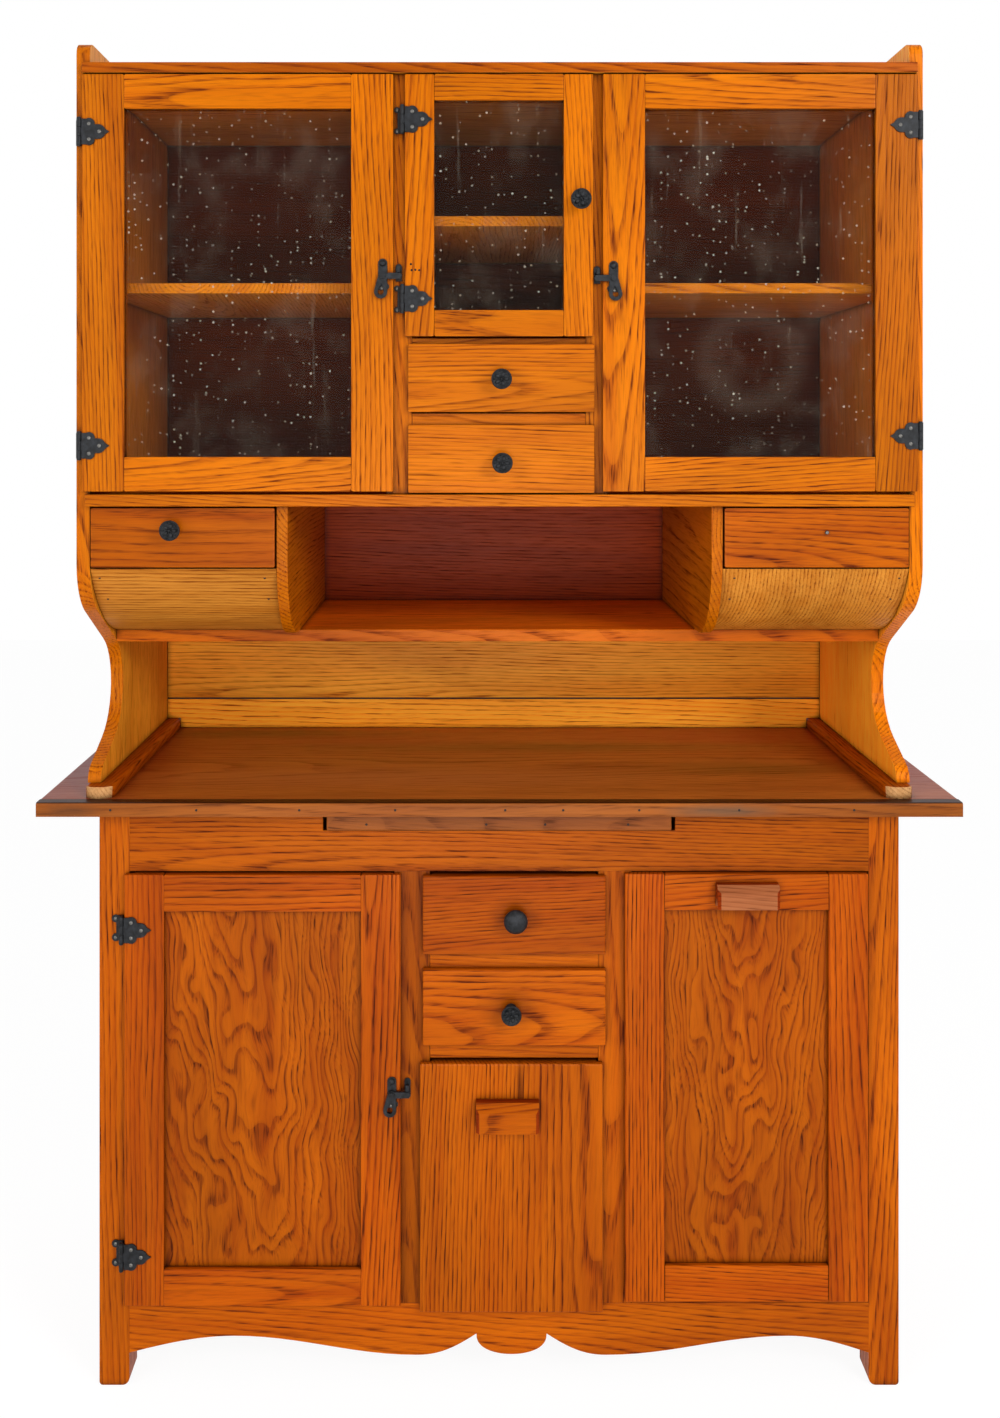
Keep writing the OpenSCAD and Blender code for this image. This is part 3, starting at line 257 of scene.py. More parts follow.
def makeGrain():
    group = bpy.data.node_groups.new("oakGrain", "ShaderNodeTree")
    sockets = {"Board": "Vector", "Light": "Color", "Mid": "Color", "Dark": "Color", "Figure": "Float"}
    for name, kind in sockets.items():
        group.interface.new_socket(name=name, in_out="INPUT", socket_type="NodeSocket" + kind)
    for name, kind in {"Colour": "Color", "Roughness": "Float", "Height": "Float"}.items():
        group.interface.new_socket(name=name, in_out="OUTPUT", socket_type="NodeSocket" + kind)
    given = group.nodes.new("NodeGroupInput").outputs
    board = given["Board"]
    place = board
    for scale, reach in grain["wanders"]:
        place = wander(group, board, place, scale, reach)
    wave = {"Vector": place, "Scale": grain["rings"], "Distortion": 0.6, "Detail": 1.0, "Detail Scale": 0.4}
    rings = addNode(
        group, "TexWave", wave, wave_type="RINGS", rings_direction="Z", wave_profile="SAW"
    ).outputs["Fac"]

    # pale early wood, then pores, dashes and the dark lines between the rings
    early = ramp(group, rings, [(0.0, 0.9), (0.16, 1.0), (0.42, 0.3), (0.8, 0.0), (1.0, 0.25)])
    early = calc(group, "MULTIPLY", early, given["Figure"])
    pores = spots(group, board, grain["pores"], 1.0, 0.5, 0.68)
    dashes = spots(group, board, grain["dashes"], 2.0, 0.52, 0.7)
    lines = ramp(group, rings, [(0.0, 0.8), (0.1, 1.0), (0.3, 0.0), (0.95, 0.0), (1.0, 0.8)])
    broken = spots(group, board, grain["breaks"], 2.0, 0.38, 0.6, 0.15)
    lines = calc(group, "MULTIPLY", calc(group, "MULTIPLY", lines, broken), given["Figure"])
    depths = grain["depths"]
    pores = calc(group, "MULTIPLY", pores, depths["pores"])
    dashes = calc(group, "MULTIPLY", dashes, depths["dashes"])
    pits = calc(group, "ADD", pores, dashes)
    porous = calc(group, "ADD", calc(group, "MULTIPLY", early, 0.95), 0.22)
    lined = calc(group, "MULTIPLY", lines, depths["lines"])
    marks = calc(group, "ADD", calc(group, "MULTIPLY", pits, porous), lined, True)

    # from light to mid in streaks, and to dark in the marks
    streaks = spots(group, board, grain["streaks"], 3.0, 0.36, 0.66)
    blend = calc(group, "ADD", calc(group, "MULTIPLY", streaks, 0.55), calc(group, "MULTIPLY", early, 0.5), True)
    body = addNode(group, "Mix", {0: blend, 6: given["Light"], 7: given["Mid"]}, data_type="RGBA").outputs[2]
    marked = addNode(group, "Mix", {0: marks, 6: body, 7: given["Dark"]}, data_type="RGBA").outputs[2]
    clouds = noise(group, board, grain["clouds"], 2.0).outputs["Fac"]
    low, high = grain["cloudDepth"]
    level = addNode(group, "MapRange", {0: clouds, 1: 0.3, 2: 0.7, 3: low, 4: high}).outputs[0]
    toned = addNode(group, "HueSaturation", {"Value": level, "Color": marked}).outputs[0]
    low, high = grain["roughness"]
    rough = addNode(group, "MapRange", {0: marks, 3: low, 4: high}).outputs[0]
    height = calc(group, "SUBTRACT", 1.0, calc(group, "ADD", marks, calc(group, "MULTIPLY", early, 0.25)))
    made = group.nodes.new("NodeGroupOutput")
    for socket, value in (("Colour", toned), ("Roughness", rough), ("Height", height)):
        group.links.new(value, made.inputs[socket])
    return group


oakGrain = makeGrain()

tones = {
    "golden": {"light": (208, 112, 8), "mid": (182, 88, 5), "dark": (96, 38, 4), "figure": 0.9},
    "amber": {"light": (194, 96, 10), "mid": (166, 72, 6), "dark": (88, 32, 5), "figure": 0.95},
    "russet": {"light": (188, 88, 10), "mid": (158, 62, 6), "dark": (78, 30, 7), "figure": 1.0},
    "panel": {"light": (186, 92, 12), "mid": (146, 60, 7), "dark": (82, 32, 7), "figure": 1.0},
    "honey": {"light": (240, 150, 34), "mid": (214, 116, 20), "dark": (124, 56, 10), "figure": 0.9},
    # painted light: a brighter copy of the oak for the faces the light falls on, the inner sides, undersides and
    # lower back boards
    "paintedLight": {"light": (255, 172, 52), "mid": (236, 138, 28), "dark": (146, 70, 16), "figure": 0.9},
    # painted sheen: a paler copy of the oak standing in for the bent panels' highlight
    "paintedSheen": {"light": (206, 134, 52), "mid": (184, 108, 34), "dark": (122, 60, 14), "figure": 1.1},
    "pale": {"light": (226, 170, 112), "mid": (196, 134, 78), "dark": (124, 70, 36), "figure": 0.6},
    "worn": {"light": (178, 108, 68), "mid": (148, 80, 46), "dark": (104, 54, 30), "figure": 0.8},
    # painted light: a brighter copy of the oak for the top of the nook shelf
    "nook": {"light": (255, 134, 26), "mid": (224, 94, 14), "dark": (110, 36, 8), "figure": 0.9},
    "inside": {"light": (180, 98, 22), "mid": (150, 72, 13), "dark": (88, 38, 10), "figure": 0.7},
    "cherry": {"light": (160, 62, 8), "mid": (128, 42, 5), "dark": (70, 22, 4), "figure": 0.9},
}

# Boards that are paler or deeper than their neighbours, as node and board number
boardShades = {
    "left_door_frame.4": 0.92, "left_door_frame.7": 1.1, "right_door_frame.5": 0.92,
    "base_top_rail.0": 0.91, "base_front_dividers.1": 0.84, "upper_top_board.0": 0.9,
    "side_drawer_left.4": 0.9, "base_drawer_top.4": 0.89, "lower_back_boards.1": 1.12,
    "upper_sides.0": 1.12,
}

axes = {"x": (2, 1, 0), "y": (0, 2, 1), "z": (0, 1, 2)}  # which coordinate gives each board axis

# Painted shade in creases, gaps and recesses: the colour darkens where ambient occlusion finds near surfaces
# within this reach
creaseShading = {"reach": 0.012, "samples": 6, "deepest": 0.9, "colour": (44, 14, 4)}

# Marks on single nodes: stains, dark joints and wear, and painted shade inside the glazed cupboards
stainsAndShade = {
    "base_drawer_top": [{"at": (0.022, 0, 0.642), "size": (0.042, 9, 0.03), "colour": (80, 34, 8), "part": 0.5}],
    "base_drawer_low": [{"at": (0.016, 0, 0.5175), "size": (0.048, 9, 0.03), "colour": (84, 40, 12), "part": 0.5}],
    "short_bin": [{"at": (0.028, 0, 0.4), "size": (0.006, 9, 0.07), "colour": (70, 26, 6), "part": 0.75}],
    "base_door_panel": [{"at": (-0.276, 0, 0.155), "size": (0.015, 9, 0.02), "colour": (86, 24, 6), "part": 0.7}],
    "upper_back": [
        # painted shade on the back inside the glazed cupboards
        {"at": (0, 0, 1.5), "size": (0.7, 9, 0.296), "colour": (50, 20, 9), "part": 0.66, "square": True,
         "tone": "cherry"},
    ],
    "upper_sides": [
        # painted shade on the inner faces of the sides inside the glazed cupboards
        {"at": (0, 0, 1.5), "size": (0.5505, 9, 0.29), "colour": (56, 24, 6), "part": 0.6, "square": True,
         "tone": "paintedLight"},
    ],
    "lower_back_boards": [
        {"at": (0, 0, 0.8515), "size": (0.7, 9, 0.0016), "colour": (44, 14, 4), "part": 0.9, "square": True},
    ],
    "worktop": [
        {"at": (-0.63, 0.05, 0.8), "size": (0.18, 0.5, 9), "colour": (120, 16, 12), "part": 0.85},
        {"at": (0.63, 0.1, 0.8), "size": (0.15, 0.4, 9), "colour": (140, 32, 22), "part": 0.7},
        {"at": (0.36, 0.17, 0.8), "size": (0.34, 0.07, 9), "colour": (150, 40, 28), "part": 0.6},
        {"at": (-0.38, 0.19, 0.8), "size": (0.3, 0.05, 9), "colour": (70, 50, 14), "part": 0.6},
        {"at": (0.1, 0.1, 0.8), "size": (0.5, 0.04, 9), "colour": (80, 56, 14), "part": 0.5},
        {"at": (-0.2, 0.14, 0.8), "size": (0.25, 0.05, 9), "colour": (140, 50, 28), "part": 0.5},
        {"at": (-0.15, -0.08, 0.8), "size": (0.45, 0.07, 9), "colour": (170, 96, 50), "part": 0.5},
        {"at": (0.4, -0.03, 0.8), "size": (0.2, 0.05, 9), "colour": (110, 74, 24), "part": 0.5},
    ],
    "worktop_edge_strip": [
        {"at": (0, 0, 0.8022), "size": (0.7, 9, 0.0012), "colour": (40, 16, 8), "part": 0.9, "square": True},
        {"at": (0.3, 0, 0.791), "size": (0.09, 9, 0.011), "colour": (96, 76, 58), "part": 0.7},
        {"at": (-0.58, 0, 0.79), "size": (0.05, 9, 0.012), "colour": (96, 60, 36), "part": 0.7},
    ],
}


def addStainOrShade(tree, colour, place, mark):
    away = addNode(tree, "VectorMath", {0: place, 1: mark["at"]}, operation="SUBTRACT").outputs[0]
    scaled = {0: away, 1: [1 / size for size in mark["size"]]}
    away = addNode(tree, "VectorMath", scaled, operation="MULTIPLY").outputs[0]
    if mark.get("square"):
        x, _, z = addNode(tree, "SeparateXYZ", {0: away}).outputs
        far = calc(tree, "MAXIMUM", calc(tree, "ABSOLUTE", x, 0), calc(tree, "ABSOLUTE", z, 0))
        part = ramp(tree, far, [(0.98, mark["part"]), (1.0, 0.0)])
    else:
        far = addNode(tree, "VectorMath", {0: away}, operation="LENGTH").outputs["Value"]
        uneven = noise(tree, place, (60, 60, 60), 3.0).outputs["Fac"]
        far = calc(tree, "ADD", calc(tree, "MULTIPLY", far, 0.75), calc(tree, "MULTIPLY", uneven, 0.25))
        part = ramp(tree, far, [(0.3, mark["part"]), (0.9, 0.0)])
    return addNode(tree, "Mix", {0: part, 6: colour, 7: shade(*mark["colour"])}, data_type="RGBA").outputs[2]


# How a board was sawn from its tree, drawn anew for each board; lengths in metres, leans in radians

sawing = {
    "straightShare": 0.45,  # boards whose grain runs straight
    "heartDepth": (0.03, 0.08),
    "heartOffset": 0.35,  # as a share of the board's width
    "straightOffset": (0.12, 0.3),
    "lean": 0.05,
    "panelLean": 0.13,
    "warmth": (0.95, 1.03),
    "figure": (0.7, 1.1),
}


def sawBoard(luck, span, panel, straight):
    straight = luck.random() < sawing["straightShare"] if straight is None else straight
    thin = 0 if span[0] < span[1] else 1
    offset = sawing["heartOffset"]
    heart = [0.0, 0.0, 0.0]  # how far the tree's heart lies from the board's middle
    heart[thin] = luck.choice((-1, 1)) * luck.uniform(*sawing["heartDepth"])
    heart[1 - thin] = luck.uniform(-offset, offset) * span[1 - thin]
    if straight and not panel:
        heart[1 - thin] = luck.choice((-1, 1)) * luck.uniform(*sawing["straightOffset"])
    lean = sawing["panelLean"] if panel else sawing["lean"]
    first = luck.choice((-1, 1)) * luck.uniform(lean / 2, lean)
    return heart, [first, luck.uniform(-sawing["lean"], sawing["lean"]), luck.uniform(0, 6)]


def boardPlace(tree, place, order, middle, heart, tilt):
    apart = addNode(tree, "SeparateXYZ", {0: place}).outputs
    board = addNode(tree, "CombineXYZ", {i: apart[order[i]] for i in range(3)}).outputs[0]
    centred = addNode(tree, "VectorMath", {0: board, 1: middle}, operation="SUBTRACT").outputs[0]
    return addNode(tree, "Mapping", {0: centred, "Location": heart, "Rotation": tilt}).outputs[0]


# Painted shade from ambient occlusion in creases, gaps and recesses, then the node's stains and its painted shade
# marks
def paintShadeAndStains(tree, colour, place, node, tone):
    crease = addNode(tree, "AmbientOcclusion", {"Distance": creaseShading["reach"]}, samples=creaseShading["samples"])
    creaseShadeMask = ramp(tree, crease.outputs["AO"], [(0.3, creaseShading["deepest"]), (0.6, 0.3), (0.92, 0.0)])
    both = {0: creaseShadeMask, 6: colour, 7: shade(*creaseShading["colour"])}
    shadedAndStained = addNode(tree, "Mix", both, data_type="RGBA").outputs[2]
    for mark in stainsAndShade.get(node, []):
        if mark.get("tone", tone) == tone:
            shadedAndStained = addStainOrShade(tree, shadedAndStained, place, mark)
    return shadedAndStained


def oakBoard(name, tone, low, high, along=None, straight=None):
    size = [b - a for a, b in zip(low, high)]
    order = axes[along or "xyz"[size.index(max(size))]]
    middle = [(low[i] + high[i]) / 2 for i in order]
    luck = random.Random(name)
    heart, tilt = sawBoard(luck, [size[i] for i in order], tone == "panel", straight)
    look = tones[tone]
    warmth = luck.uniform(*sawing["warmth"]) * boardShades.get(name, 1)

    material, tree, shader = newMaterial(name)
    place = addNode(tree, "TexCoord").outputs["Object"]
    board = boardPlace(tree, place, order, middle, heart, tilt)
    if tone == "panel":
        board = wander(tree, board, board, *grain["panelWaves"])
    pattern = addNode(tree, "Group", node_tree=oakGrain)
    tree.links.new(board, pattern.inputs["Board"])
    for socket in ("Light", "Mid", "Dark"):
        pattern.inputs[socket].default_value = shade(*[c * warmth for c in look[socket.lower()]])
    pattern.inputs["Figure"].default_value = look["figure"] * luck.uniform(*sawing["figure"])
    shadedAndStained = paintShadeAndStains(tree, pattern.outputs["Colour"], place, name.split(".")[0], tone)
    tree.links.new(shadedAndStained, shader.inputs["Base Color"])
    tree.links.new(pattern.outputs["Roughness"], shader.inputs["Roughness"])
    relief = {"Height": pattern.outputs["Height"], "Strength": 0.5, "Distance": grain["relief"]}
    tree.links.new(addNode(tree, "Bump", relief).outputs[0], shader.inputs["Normal"])
    shader.inputs["Specular IOR Level"].default_value = grain["specular"]
    return material


def boardsOf(mesh):
    owner = {}
    parent = list(range(len(mesh.polygons)))

    def root(face):
        while parent[face] != face:
            face = parent[face]
        return face

    for face in mesh.polygons:
        for corner in face.vertices:
            key = tuple(round(c * 1e5) for c in mesh.vertices[corner].co)
            parent[root(face.index)] = root(owner.setdefault(key, face.index))
    boards = {}
    for face in mesh.polygons:
        boards.setdefault(root(face.index), []).append(face.index)
    return list(boards.values())


softening = {"segments": 2, "angle": 32, "weld": 0.00001}


def softenEdges(piece, width):
    weld = piece.modifiers.new("weld", "WELD")
    weld.merge_threshold = softening["weld"]
    bevel = piece.modifiers.new("softened", "BEVEL")
    bevel.width = width
    bevel.segments = softening["segments"]
    bevel.limit_method = "ANGLE"
    bevel.angle_limit = math.radians(softening["angle"])


def finishBoards(name, tone, width):
    piece = nodes[name]
    mesh = piece.data
    mesh.materials.clear()
    made = {}
    for number, faces in enumerate(boardsOf(mesh)):
        corners = [mesh.vertices[v].co for face in faces for v in mesh.polygons[face].vertices]
        low = [min(c[i] for c in corners) for i in range(3)]
        high = [max(c[i] for c in corners) for i in range(3)]
        along = "z" if name == "bent_panels" and low[0] > 0 else None  # the right one's grain stands upright
        for face in faces:
            chosen = tone(low, high, mesh.polygons[face].normal) if callable(tone) else tone
            if (number, chosen) not in made:
                made[number, chosen] = len(mesh.materials)
                mesh.materials.append(oakBoard(f"{name}.{number}", chosen, low, high, along))
            mesh.polygons[face].material_index = made[number, chosen]
    softenEdges(piece, width)


# Tones that change with the way a face looks; some paint light and shade into faces by the way they are turned


# the inner faces of the upper sides take the brighter tone: painted light
def sideTone(low, high, out):
    return "paintedLight" if out.x * (low[0] + high[0]) < -0.1 else "golden"


# the fronts of the lower back boards take the brighter tone: painted light
def backTone(low, high, out):
    return "inside" if out.y > -0.5 else "cherry" if high[2] > 1.3 else "paintedLight"


# undersides take the brighter tone: painted light from below
def undersideTone(low, high, out):
    return "paintedLight" if out.z < -0.5 else "amber" if high[2] > 1.75 else "honey"


# the top of the nook shelf takes a brighter tone than its edges: painted light
def nookTone(low, high, out):
    return "nook" if out.z > 0.5 else "amber"


def footTone(low, high, out):
    return "pale" if out.y < -0.5 else "russet"


def pullTone(low, high, out):
    # the end faces and tops of the pulls take the darker cherry tone: painted shade
    if abs(out.x) > 0.7 or out.z > 0.8:
        return "cherry"
    return "worn" if low[0] > 0.2 else "amber"


def tallBinTone(low, high, out):
    return "panel" if min(high[0] - low[0], high[2] - low[2]) > 0.15 else "russet"


boardTones = {
    "base_legs": "amber", "base_sides": "amber", "base_back_panel": "inside", "base_floor": "inside",
    "base_top_rail": "amber", "base_scalloped_rail": "amber", "base_front_dividers": "amber",
    "base_partitions": "inside", "base_shelf": "inside", "base_runners": "inside",
    "upper_sides": sideTone, "upper_foot_strips": footTone, "upper_top_board": undersideTone,
    "upper_case_floor": "golden", "upper_dividers": "golden", "upper_drawer_rails": "golden",
    "upper_shelves": undersideTone, "upper_back": backTone, "nook_shelf": nookTone,
    "nook_partitions": "golden", "bent_panels": "paintedSheen", "lower_back_boards": backTone,
    "left_door_frame": "golden", "middle_door_frame": "golden", "right_door_frame": "golden",
    "base_door_frame": "russet", "base_door_panel": "panel",
    "upper_drawer_top": "golden", "upper_drawer_low": "golden",
    "side_drawer_left": "amber", "side_drawer_right": "amber",
    "base_drawer_top": "russet", "base_drawer_low": "amber",
    "short_bin": "amber", "tall_bin_front": tallBinTone, "tall_bin_box": "inside",
    "short_bin_pull": pullTone, "tall_bin_pull": pullTone,
}

edgeWidths = {"front": 0.0018, "board": 0.0008}
fronts = [
    "left_door_frame", "middle_door_frame", "right_door_frame", "base_door_frame",
    "upper_drawer_top", "upper_drawer_low", "side_drawer_left", "side_drawer_right",
    "base_drawer_top", "base_drawer_low", "short_bin", "tall_bin_front",
    "short_bin_pull", "tall_bin_pull",
]

for name, tone in boardTones.items():
    finishBoards(name, tone, edgeWidths["front" if name in fronts else "board"])
print("oak boards finished")


# Worktop, its strip and the bread board: plain worn boards

wornBoards = {
    "worktop": {"light": (190, 106, 40), "mid": (160, 78, 27), "dark": (98, 42, 16), "specular": 0.18},
    "worktop_edge_strip": {"light": (164, 92, 36), "mid": (134, 68, 24), "dark": (64, 30, 16), "specular": 0.1},
    "bread_board": {"light": (150, 84, 36), "mid": (122, 62, 26), "dark": (48, 22, 10), "specular": 0.1},
}
wornEdge = 0.002

for name, look in wornBoards.items():
    tones[name] = {**look, "figure": 0.5}
    low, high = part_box(name)
    material = oakBoard(name, name, low, high, "x", True)
    shader = material.node_tree.nodes["Principled BSDF"]
    shader.inputs["Specular IOR Level"].default_value = look["specular"]
    nodes[name].data.materials.clear()
    nodes[name].data.materials.append(material)
    softenEdges(nodes[name], wornEdge)
print("worn boards finished")


# Black iron

iron = {
    "dark": (14, 15, 17),
    "pale": (44, 46, 50),
    "roughness": (0.38, 0.62),
    "metallic": 0.5,
    "mottle": (160, 160, 160),
    "relief": 0.0004,
    "edge": 0.00035,
}


def makeIron():
    material, tree, shader = newMaterial("blackIron")
    place = addNode(tree, "TexCoord").outputs["Object"]
    mottle = noise(tree, place, iron["mottle"], 4.0, 0.6).outputs["Fac"]
    colour = ramp(tree, mottle, [(0.35, shade(*iron["dark"])), (0.75, shade(*iron["pale"]))])
    tree.links.new(colour, shader.inputs["Base Color"])
    low, high = iron["roughness"]
    rough = addNode(tree, "MapRange", {0: mottle, 3: low, 4: high}).outputs[0]
    tree.links.new(rough, shader.inputs["Roughness"])
    bump = addNode(tree, "Bump", {"Height": mottle, "Strength": 0.35, "Distance": iron["relief"]})
    tree.links.new(bump.outputs[0], shader.inputs["Normal"])
    shader.inputs["Metallic"].default_value = iron["metallic"]
    return material


blackIron = makeIron()
ironNodes = [
    "hinge_leaves_and_pins", "latch_keepers", "left_door_irons", "left_latch_lever",
    "middle_door_irons", "middle_door_knob", "right_door_irons", "right_latch_lever",
    "base_door_irons", "base_latch_lever", "upper_knob_top", "upper_knob_low", "side_knob_left",
    "side_bolt_right", "base_knob_top", "base_knob_low",
]
for name in ironNodes:
    nodes[name].data.materials.clear()
    nodes[name].data.materials.append(blackIron)
    softenEdges(nodes[name], iron["edge"])
print("iron finished")


# Old glass with dust, smears and run marks

pane = {
    "tint": (0.90, 0.87, 0.82, 1),
    "dust": (186, 172, 152),
    "specks": 115.0,  # cells in a metre
    "runs": {"scale": (75, 75, 5), "edges": (0.64, 0.78), "depth": 0.15},
    "smears": {"scale": (14, 14, 10), "edges": (0.5, 0.82), "depth": 0.075},
    "ring": {"at": (0.336, 1.399), "radius": 0.058, "width": 0.025, "depth": 0.03},
    "dustShare": 0.75,
    "haze": 0.004,
    "gloss": 0.04,
    "mirror": 1.13,  # index of refraction for the reflection alone
}


def glassMarks(tree, place, look, detail, lean):
    value = noise(tree, place, look["scale"], detail, lean).outputs["Fac"]
    low, high = look["edges"]
    return ramp(tree, value, [(low, 0.0), (high, look["depth"])])


def glassRing(tree, place):
    ring = pane["ring"]
    x, _, z = addNode(tree, "SeparateXYZ", {0: place}).outputs
    across = calc(tree, "SUBTRACT", x, ring["at"][0])
    up = calc(tree, "SUBTRACT", z, ring["at"][1])
    flat = addNode(tree, "CombineXYZ", {0: across, 1: up}).outputs[0]
    away = addNode(tree, "VectorMath", {0: flat}, operation="LENGTH").outputs["Value"]
    off = calc(tree, "ABSOLUTE", calc(tree, "SUBTRACT", away, ring["radius"]), 0)
    return ramp(tree, calc(tree, "DIVIDE", off, ring["width"]), [(0.0, ring["depth"]), (1.0, 0.0)])


def glassSpecks(tree, place):
    cells = addNode(tree, "TexVoronoi", {"Vector": place, "Scale": pane["specks"], "Randomness": 1.0})
    speck = ramp(tree, cells.outputs["Distance"], [(0.12, 1.0), (0.23, 0.0)])
    few = ramp(tree, noise(tree, place, (9, 9, 9), 3.0, 0.6).outputs["Fac"], [(0.4, 0.15), (0.62, 1.0)])
    value = addNode(tree, "SeparateColor", {0: cells.outputs["Color"]}).outputs[0]
    chosen = ramp(tree, value, [(0.6, 0.0), (0.9, 1.0)])
    return calc(tree, "MULTIPLY", calc(tree, "MULTIPLY", speck, chosen), few)


def makeGlass():
    material, tree, shader = newMaterial("oldGlass")
    place = addNode(tree, "TexCoord").outputs["Object"]
    specks = glassSpecks(tree, place)
    runs = glassMarks(tree, place, pane["runs"], 3.0, 0.65)
    smears = glassMarks(tree, place, pane["smears"], 5.0, 0.68)
    ring = glassRing(tree, place)
    dust = calc(tree, "ADD", calc(tree, "ADD", specks, runs), calc(tree, "ADD", smears, ring), True)
    dust = calc(tree, "ADD", calc(tree, "MULTIPLY", dust, pane["dustShare"]), pane["haze"])
    clear = addNode(tree, "BsdfTransparent", {"Color": pane["tint"]})
    gloss = addNode(tree, "BsdfGlossy", {"Color": (1, 1, 1, 1), "Roughness": pane["gloss"]})
    mirror = addNode(tree, "Fresnel", {"IOR": pane["mirror"]}).outputs[0]
    glass = addNode(tree, "MixShader", {0: mirror, 1: clear.outputs[0], 2: gloss.outputs[0]})
    film = addNode(tree, "BsdfDiffuse", {"Color": shade(*pane["dust"])})
    dusty = addNode(tree, "MixShader", {0: dust, 1: glass.outputs[0], 2: film.outputs[0]})
    tree.nodes.remove(shader)
    tree.links.new(dusty.outputs[0], tree.nodes["Material Output"].inputs["Surface"])
    return material


oldGlass = makeGlass()
for name in ("left_door_glass", "middle_door_glass", "right_door_glass"):
    nodes[name].data.materials.clear()
    nodes[name].data.materials.append(oldGlass)
print("glass finished")


# Small metalwork, modelled here and carried by the cabinet's bodies

mm = 0.001


def makeMetal(name, colour, roughness, metallic):
    material, _, shader = newMaterial(name)
    shader.inputs["Base Color"].default_value = shade(*colour)
    shader.inputs["Roughness"].default_value = roughness
    shader.inputs["Metallic"].default_value = metallic
    return material


paleSteel = makeMetal("paleSteel", (112, 110, 106), 0.42, 0.85)
nailSteel = makeMetal("nailSteel", (46, 34, 28), 0.6, 0.4)
# a dark finish for discs of painted shade where old screw holes are
holeShade = makeMetal("holeShade", (26, 12, 6), 0.9, 0.0)


def makePiece(name, shape, body, finish):
    bmesh.ops.recalc_face_normals(shape, faces=shape.faces)
    mesh = bpy.data.meshes.new(name)
    shape.to_mesh(mesh)
    shape.free()
    for face in mesh.polygons:
        face.use_smooth = True
    mesh.materials.append(finish)
    piece = bpy.data.objects.new(name, mesh)
    bpy.context.collection.objects.link(piece)
    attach(piece, body)
    return piece


def facing(x, y, z, turn=0.0):
    # a frame whose Z points forwards, out of a front
    return Matrix.Translation((x, y, z)) @ Matrix.Rotation(turn, 4, "Y") @ Matrix.Rotation(math.pi / 2, 4, "X")


def addDisc(shape, frame, low, high, height, segments=20):
    place = frame @ Matrix.Translation((0, 0, height / 2))
    bmesh.ops.create_cone(
        shape, cap_ends=True, segments=segments, radius1=low, radius2=high, depth=height, matrix=place
    )


def addDome(shape, frame, size, rings=(14, 8)):
    place = frame @ Matrix.Diagonal((*size, 1))
    bmesh.ops.create_uvsphere(shape, u_segments=rings[0], v_segments=rings[1], radius=1, matrix=place)


surfaces = {}


# How far back the front of the named nodes lies at x, z

def seat(x, z, *names):
    found = []
    for name in names:
        if name not in surfaces:
            mesh = nodes[name].data
            corners = [v.co for v in mesh.vertices]
            surfaces[name] = BVHTree.FromPolygons(corners, [tuple(f.vertices) for f in mesh.polygons])
        place = surfaces[name].ray_cast((x, -1, z), (0, 1, 0))[0]
        if place:
            found.append(place.y)
    return min(found)


# Screws: two half domes on a disc, either side of the slot

screw = {"radius": 2.6 * mm, "disc": 0.5 * mm, "rise": 1.2 * mm, "slot": 0.7 * mm, "base": 0.05 * mm}


def addScrew(shape, x, y, z, turn, size=1.0):
    frame = facing(x, y, z, turn)
    radius = screw["radius"] * size
    addDisc(shape, frame, radius, radius * 0.96, screw["disc"])
    for side in (-1, 1):
        half = bmesh.new()
        flat = Matrix.Diagonal((1, 1, screw["rise"] / radius, 1))
        bmesh.ops.create_uvsphere(half, u_segments=20, v_segments=10, radius=radius * 0.97, matrix=flat)
        cuts = (((side * screw["slot"] / 2, 0, 0), (side, 0, 0)), ((0, 0, screw["base"]), (0, 0, 1)))
        for at, normal in cuts:
            parts = half.verts[:] + half.edges[:] + half.faces[:]
            bmesh.ops.bisect_plane(half, geom=parts, plane_co=at, plane_no=normal, clear_inner=True)
            bmesh.ops.holes_fill(half, edges=half.edges, sides=0)
        half.transform(frame)
        spare = bpy.data.meshes.new("half")
        half.to_mesh(spare)
        half.free()
        shape.from_mesh(spare)
        bpy.data.meshes.remove(spare)


# Hinge screws: three on each wide leaf, and two on each narrow leaf that shows

hinges = {
    "left": {"body": "left_door", "edge": -0.557, "side": 1, "heights": (1.284, 1.7025)},
    "middle": {"body": "middle_door", "edge": -0.1265, "side": 1, "heights": (1.480, 1.719), "narrow": 0.011},
    "right": {"body": "right_door", "edge": 0.557, "side": -1, "heights": (1.297, 1.7115)},
    "base": {"body": "base_door", "edge": -0.510, "side": 1, "heights": (0.181, 0.625), "narrow": 0.015},
}
wideLeaf = ((9.8 * mm, 10.4 * mm), (9.8 * mm, -10.4 * mm), (23.5 * mm, 0.0))  # across and up
narrowLeaf = {"gap": 3.6 * mm, "across": 0.66, "halfHeight": 18 * mm, "rise": 0.34, "screwSize": 0.9}


def makeHingeScrews(name, hinge):
    luck = random.Random(name)
    wide, narrow = bmesh.new(), bmesh.new()
    for height in hinge["heights"]:
        for across, up in wideLeaf:
            x = hinge["edge"] + hinge["side"] * across
            y = seat(x, height + up, hinge["body"] + "_irons")
            addScrew(wide, x, y, height + up, luck.uniform(0, 3))
        if "narrow" in hinge:
            x = hinge["edge"] - hinge["side"] * (narrowLeaf["gap"] + narrowLeaf["across"] * hinge["narrow"])
            rise = narrowLeaf["halfHeight"] - narrowLeaf["rise"] * hinge["narrow"]
            for up in (rise, -rise):
                y = seat(x, height + up, "hinge_leaves_and_pins")
                addScrew(narrow, x, y, height + up, luck.uniform(0, 3), narrowLeaf["screwSize"])
    makePiece(name + "_hinge_screws", wide, hinge["body"], paleSteel)
    if "narrow" in hinge:
        makePiece(name + "_narrow_leaf_screws", narrow, "case", paleSteel)
    else:
        narrow.free()


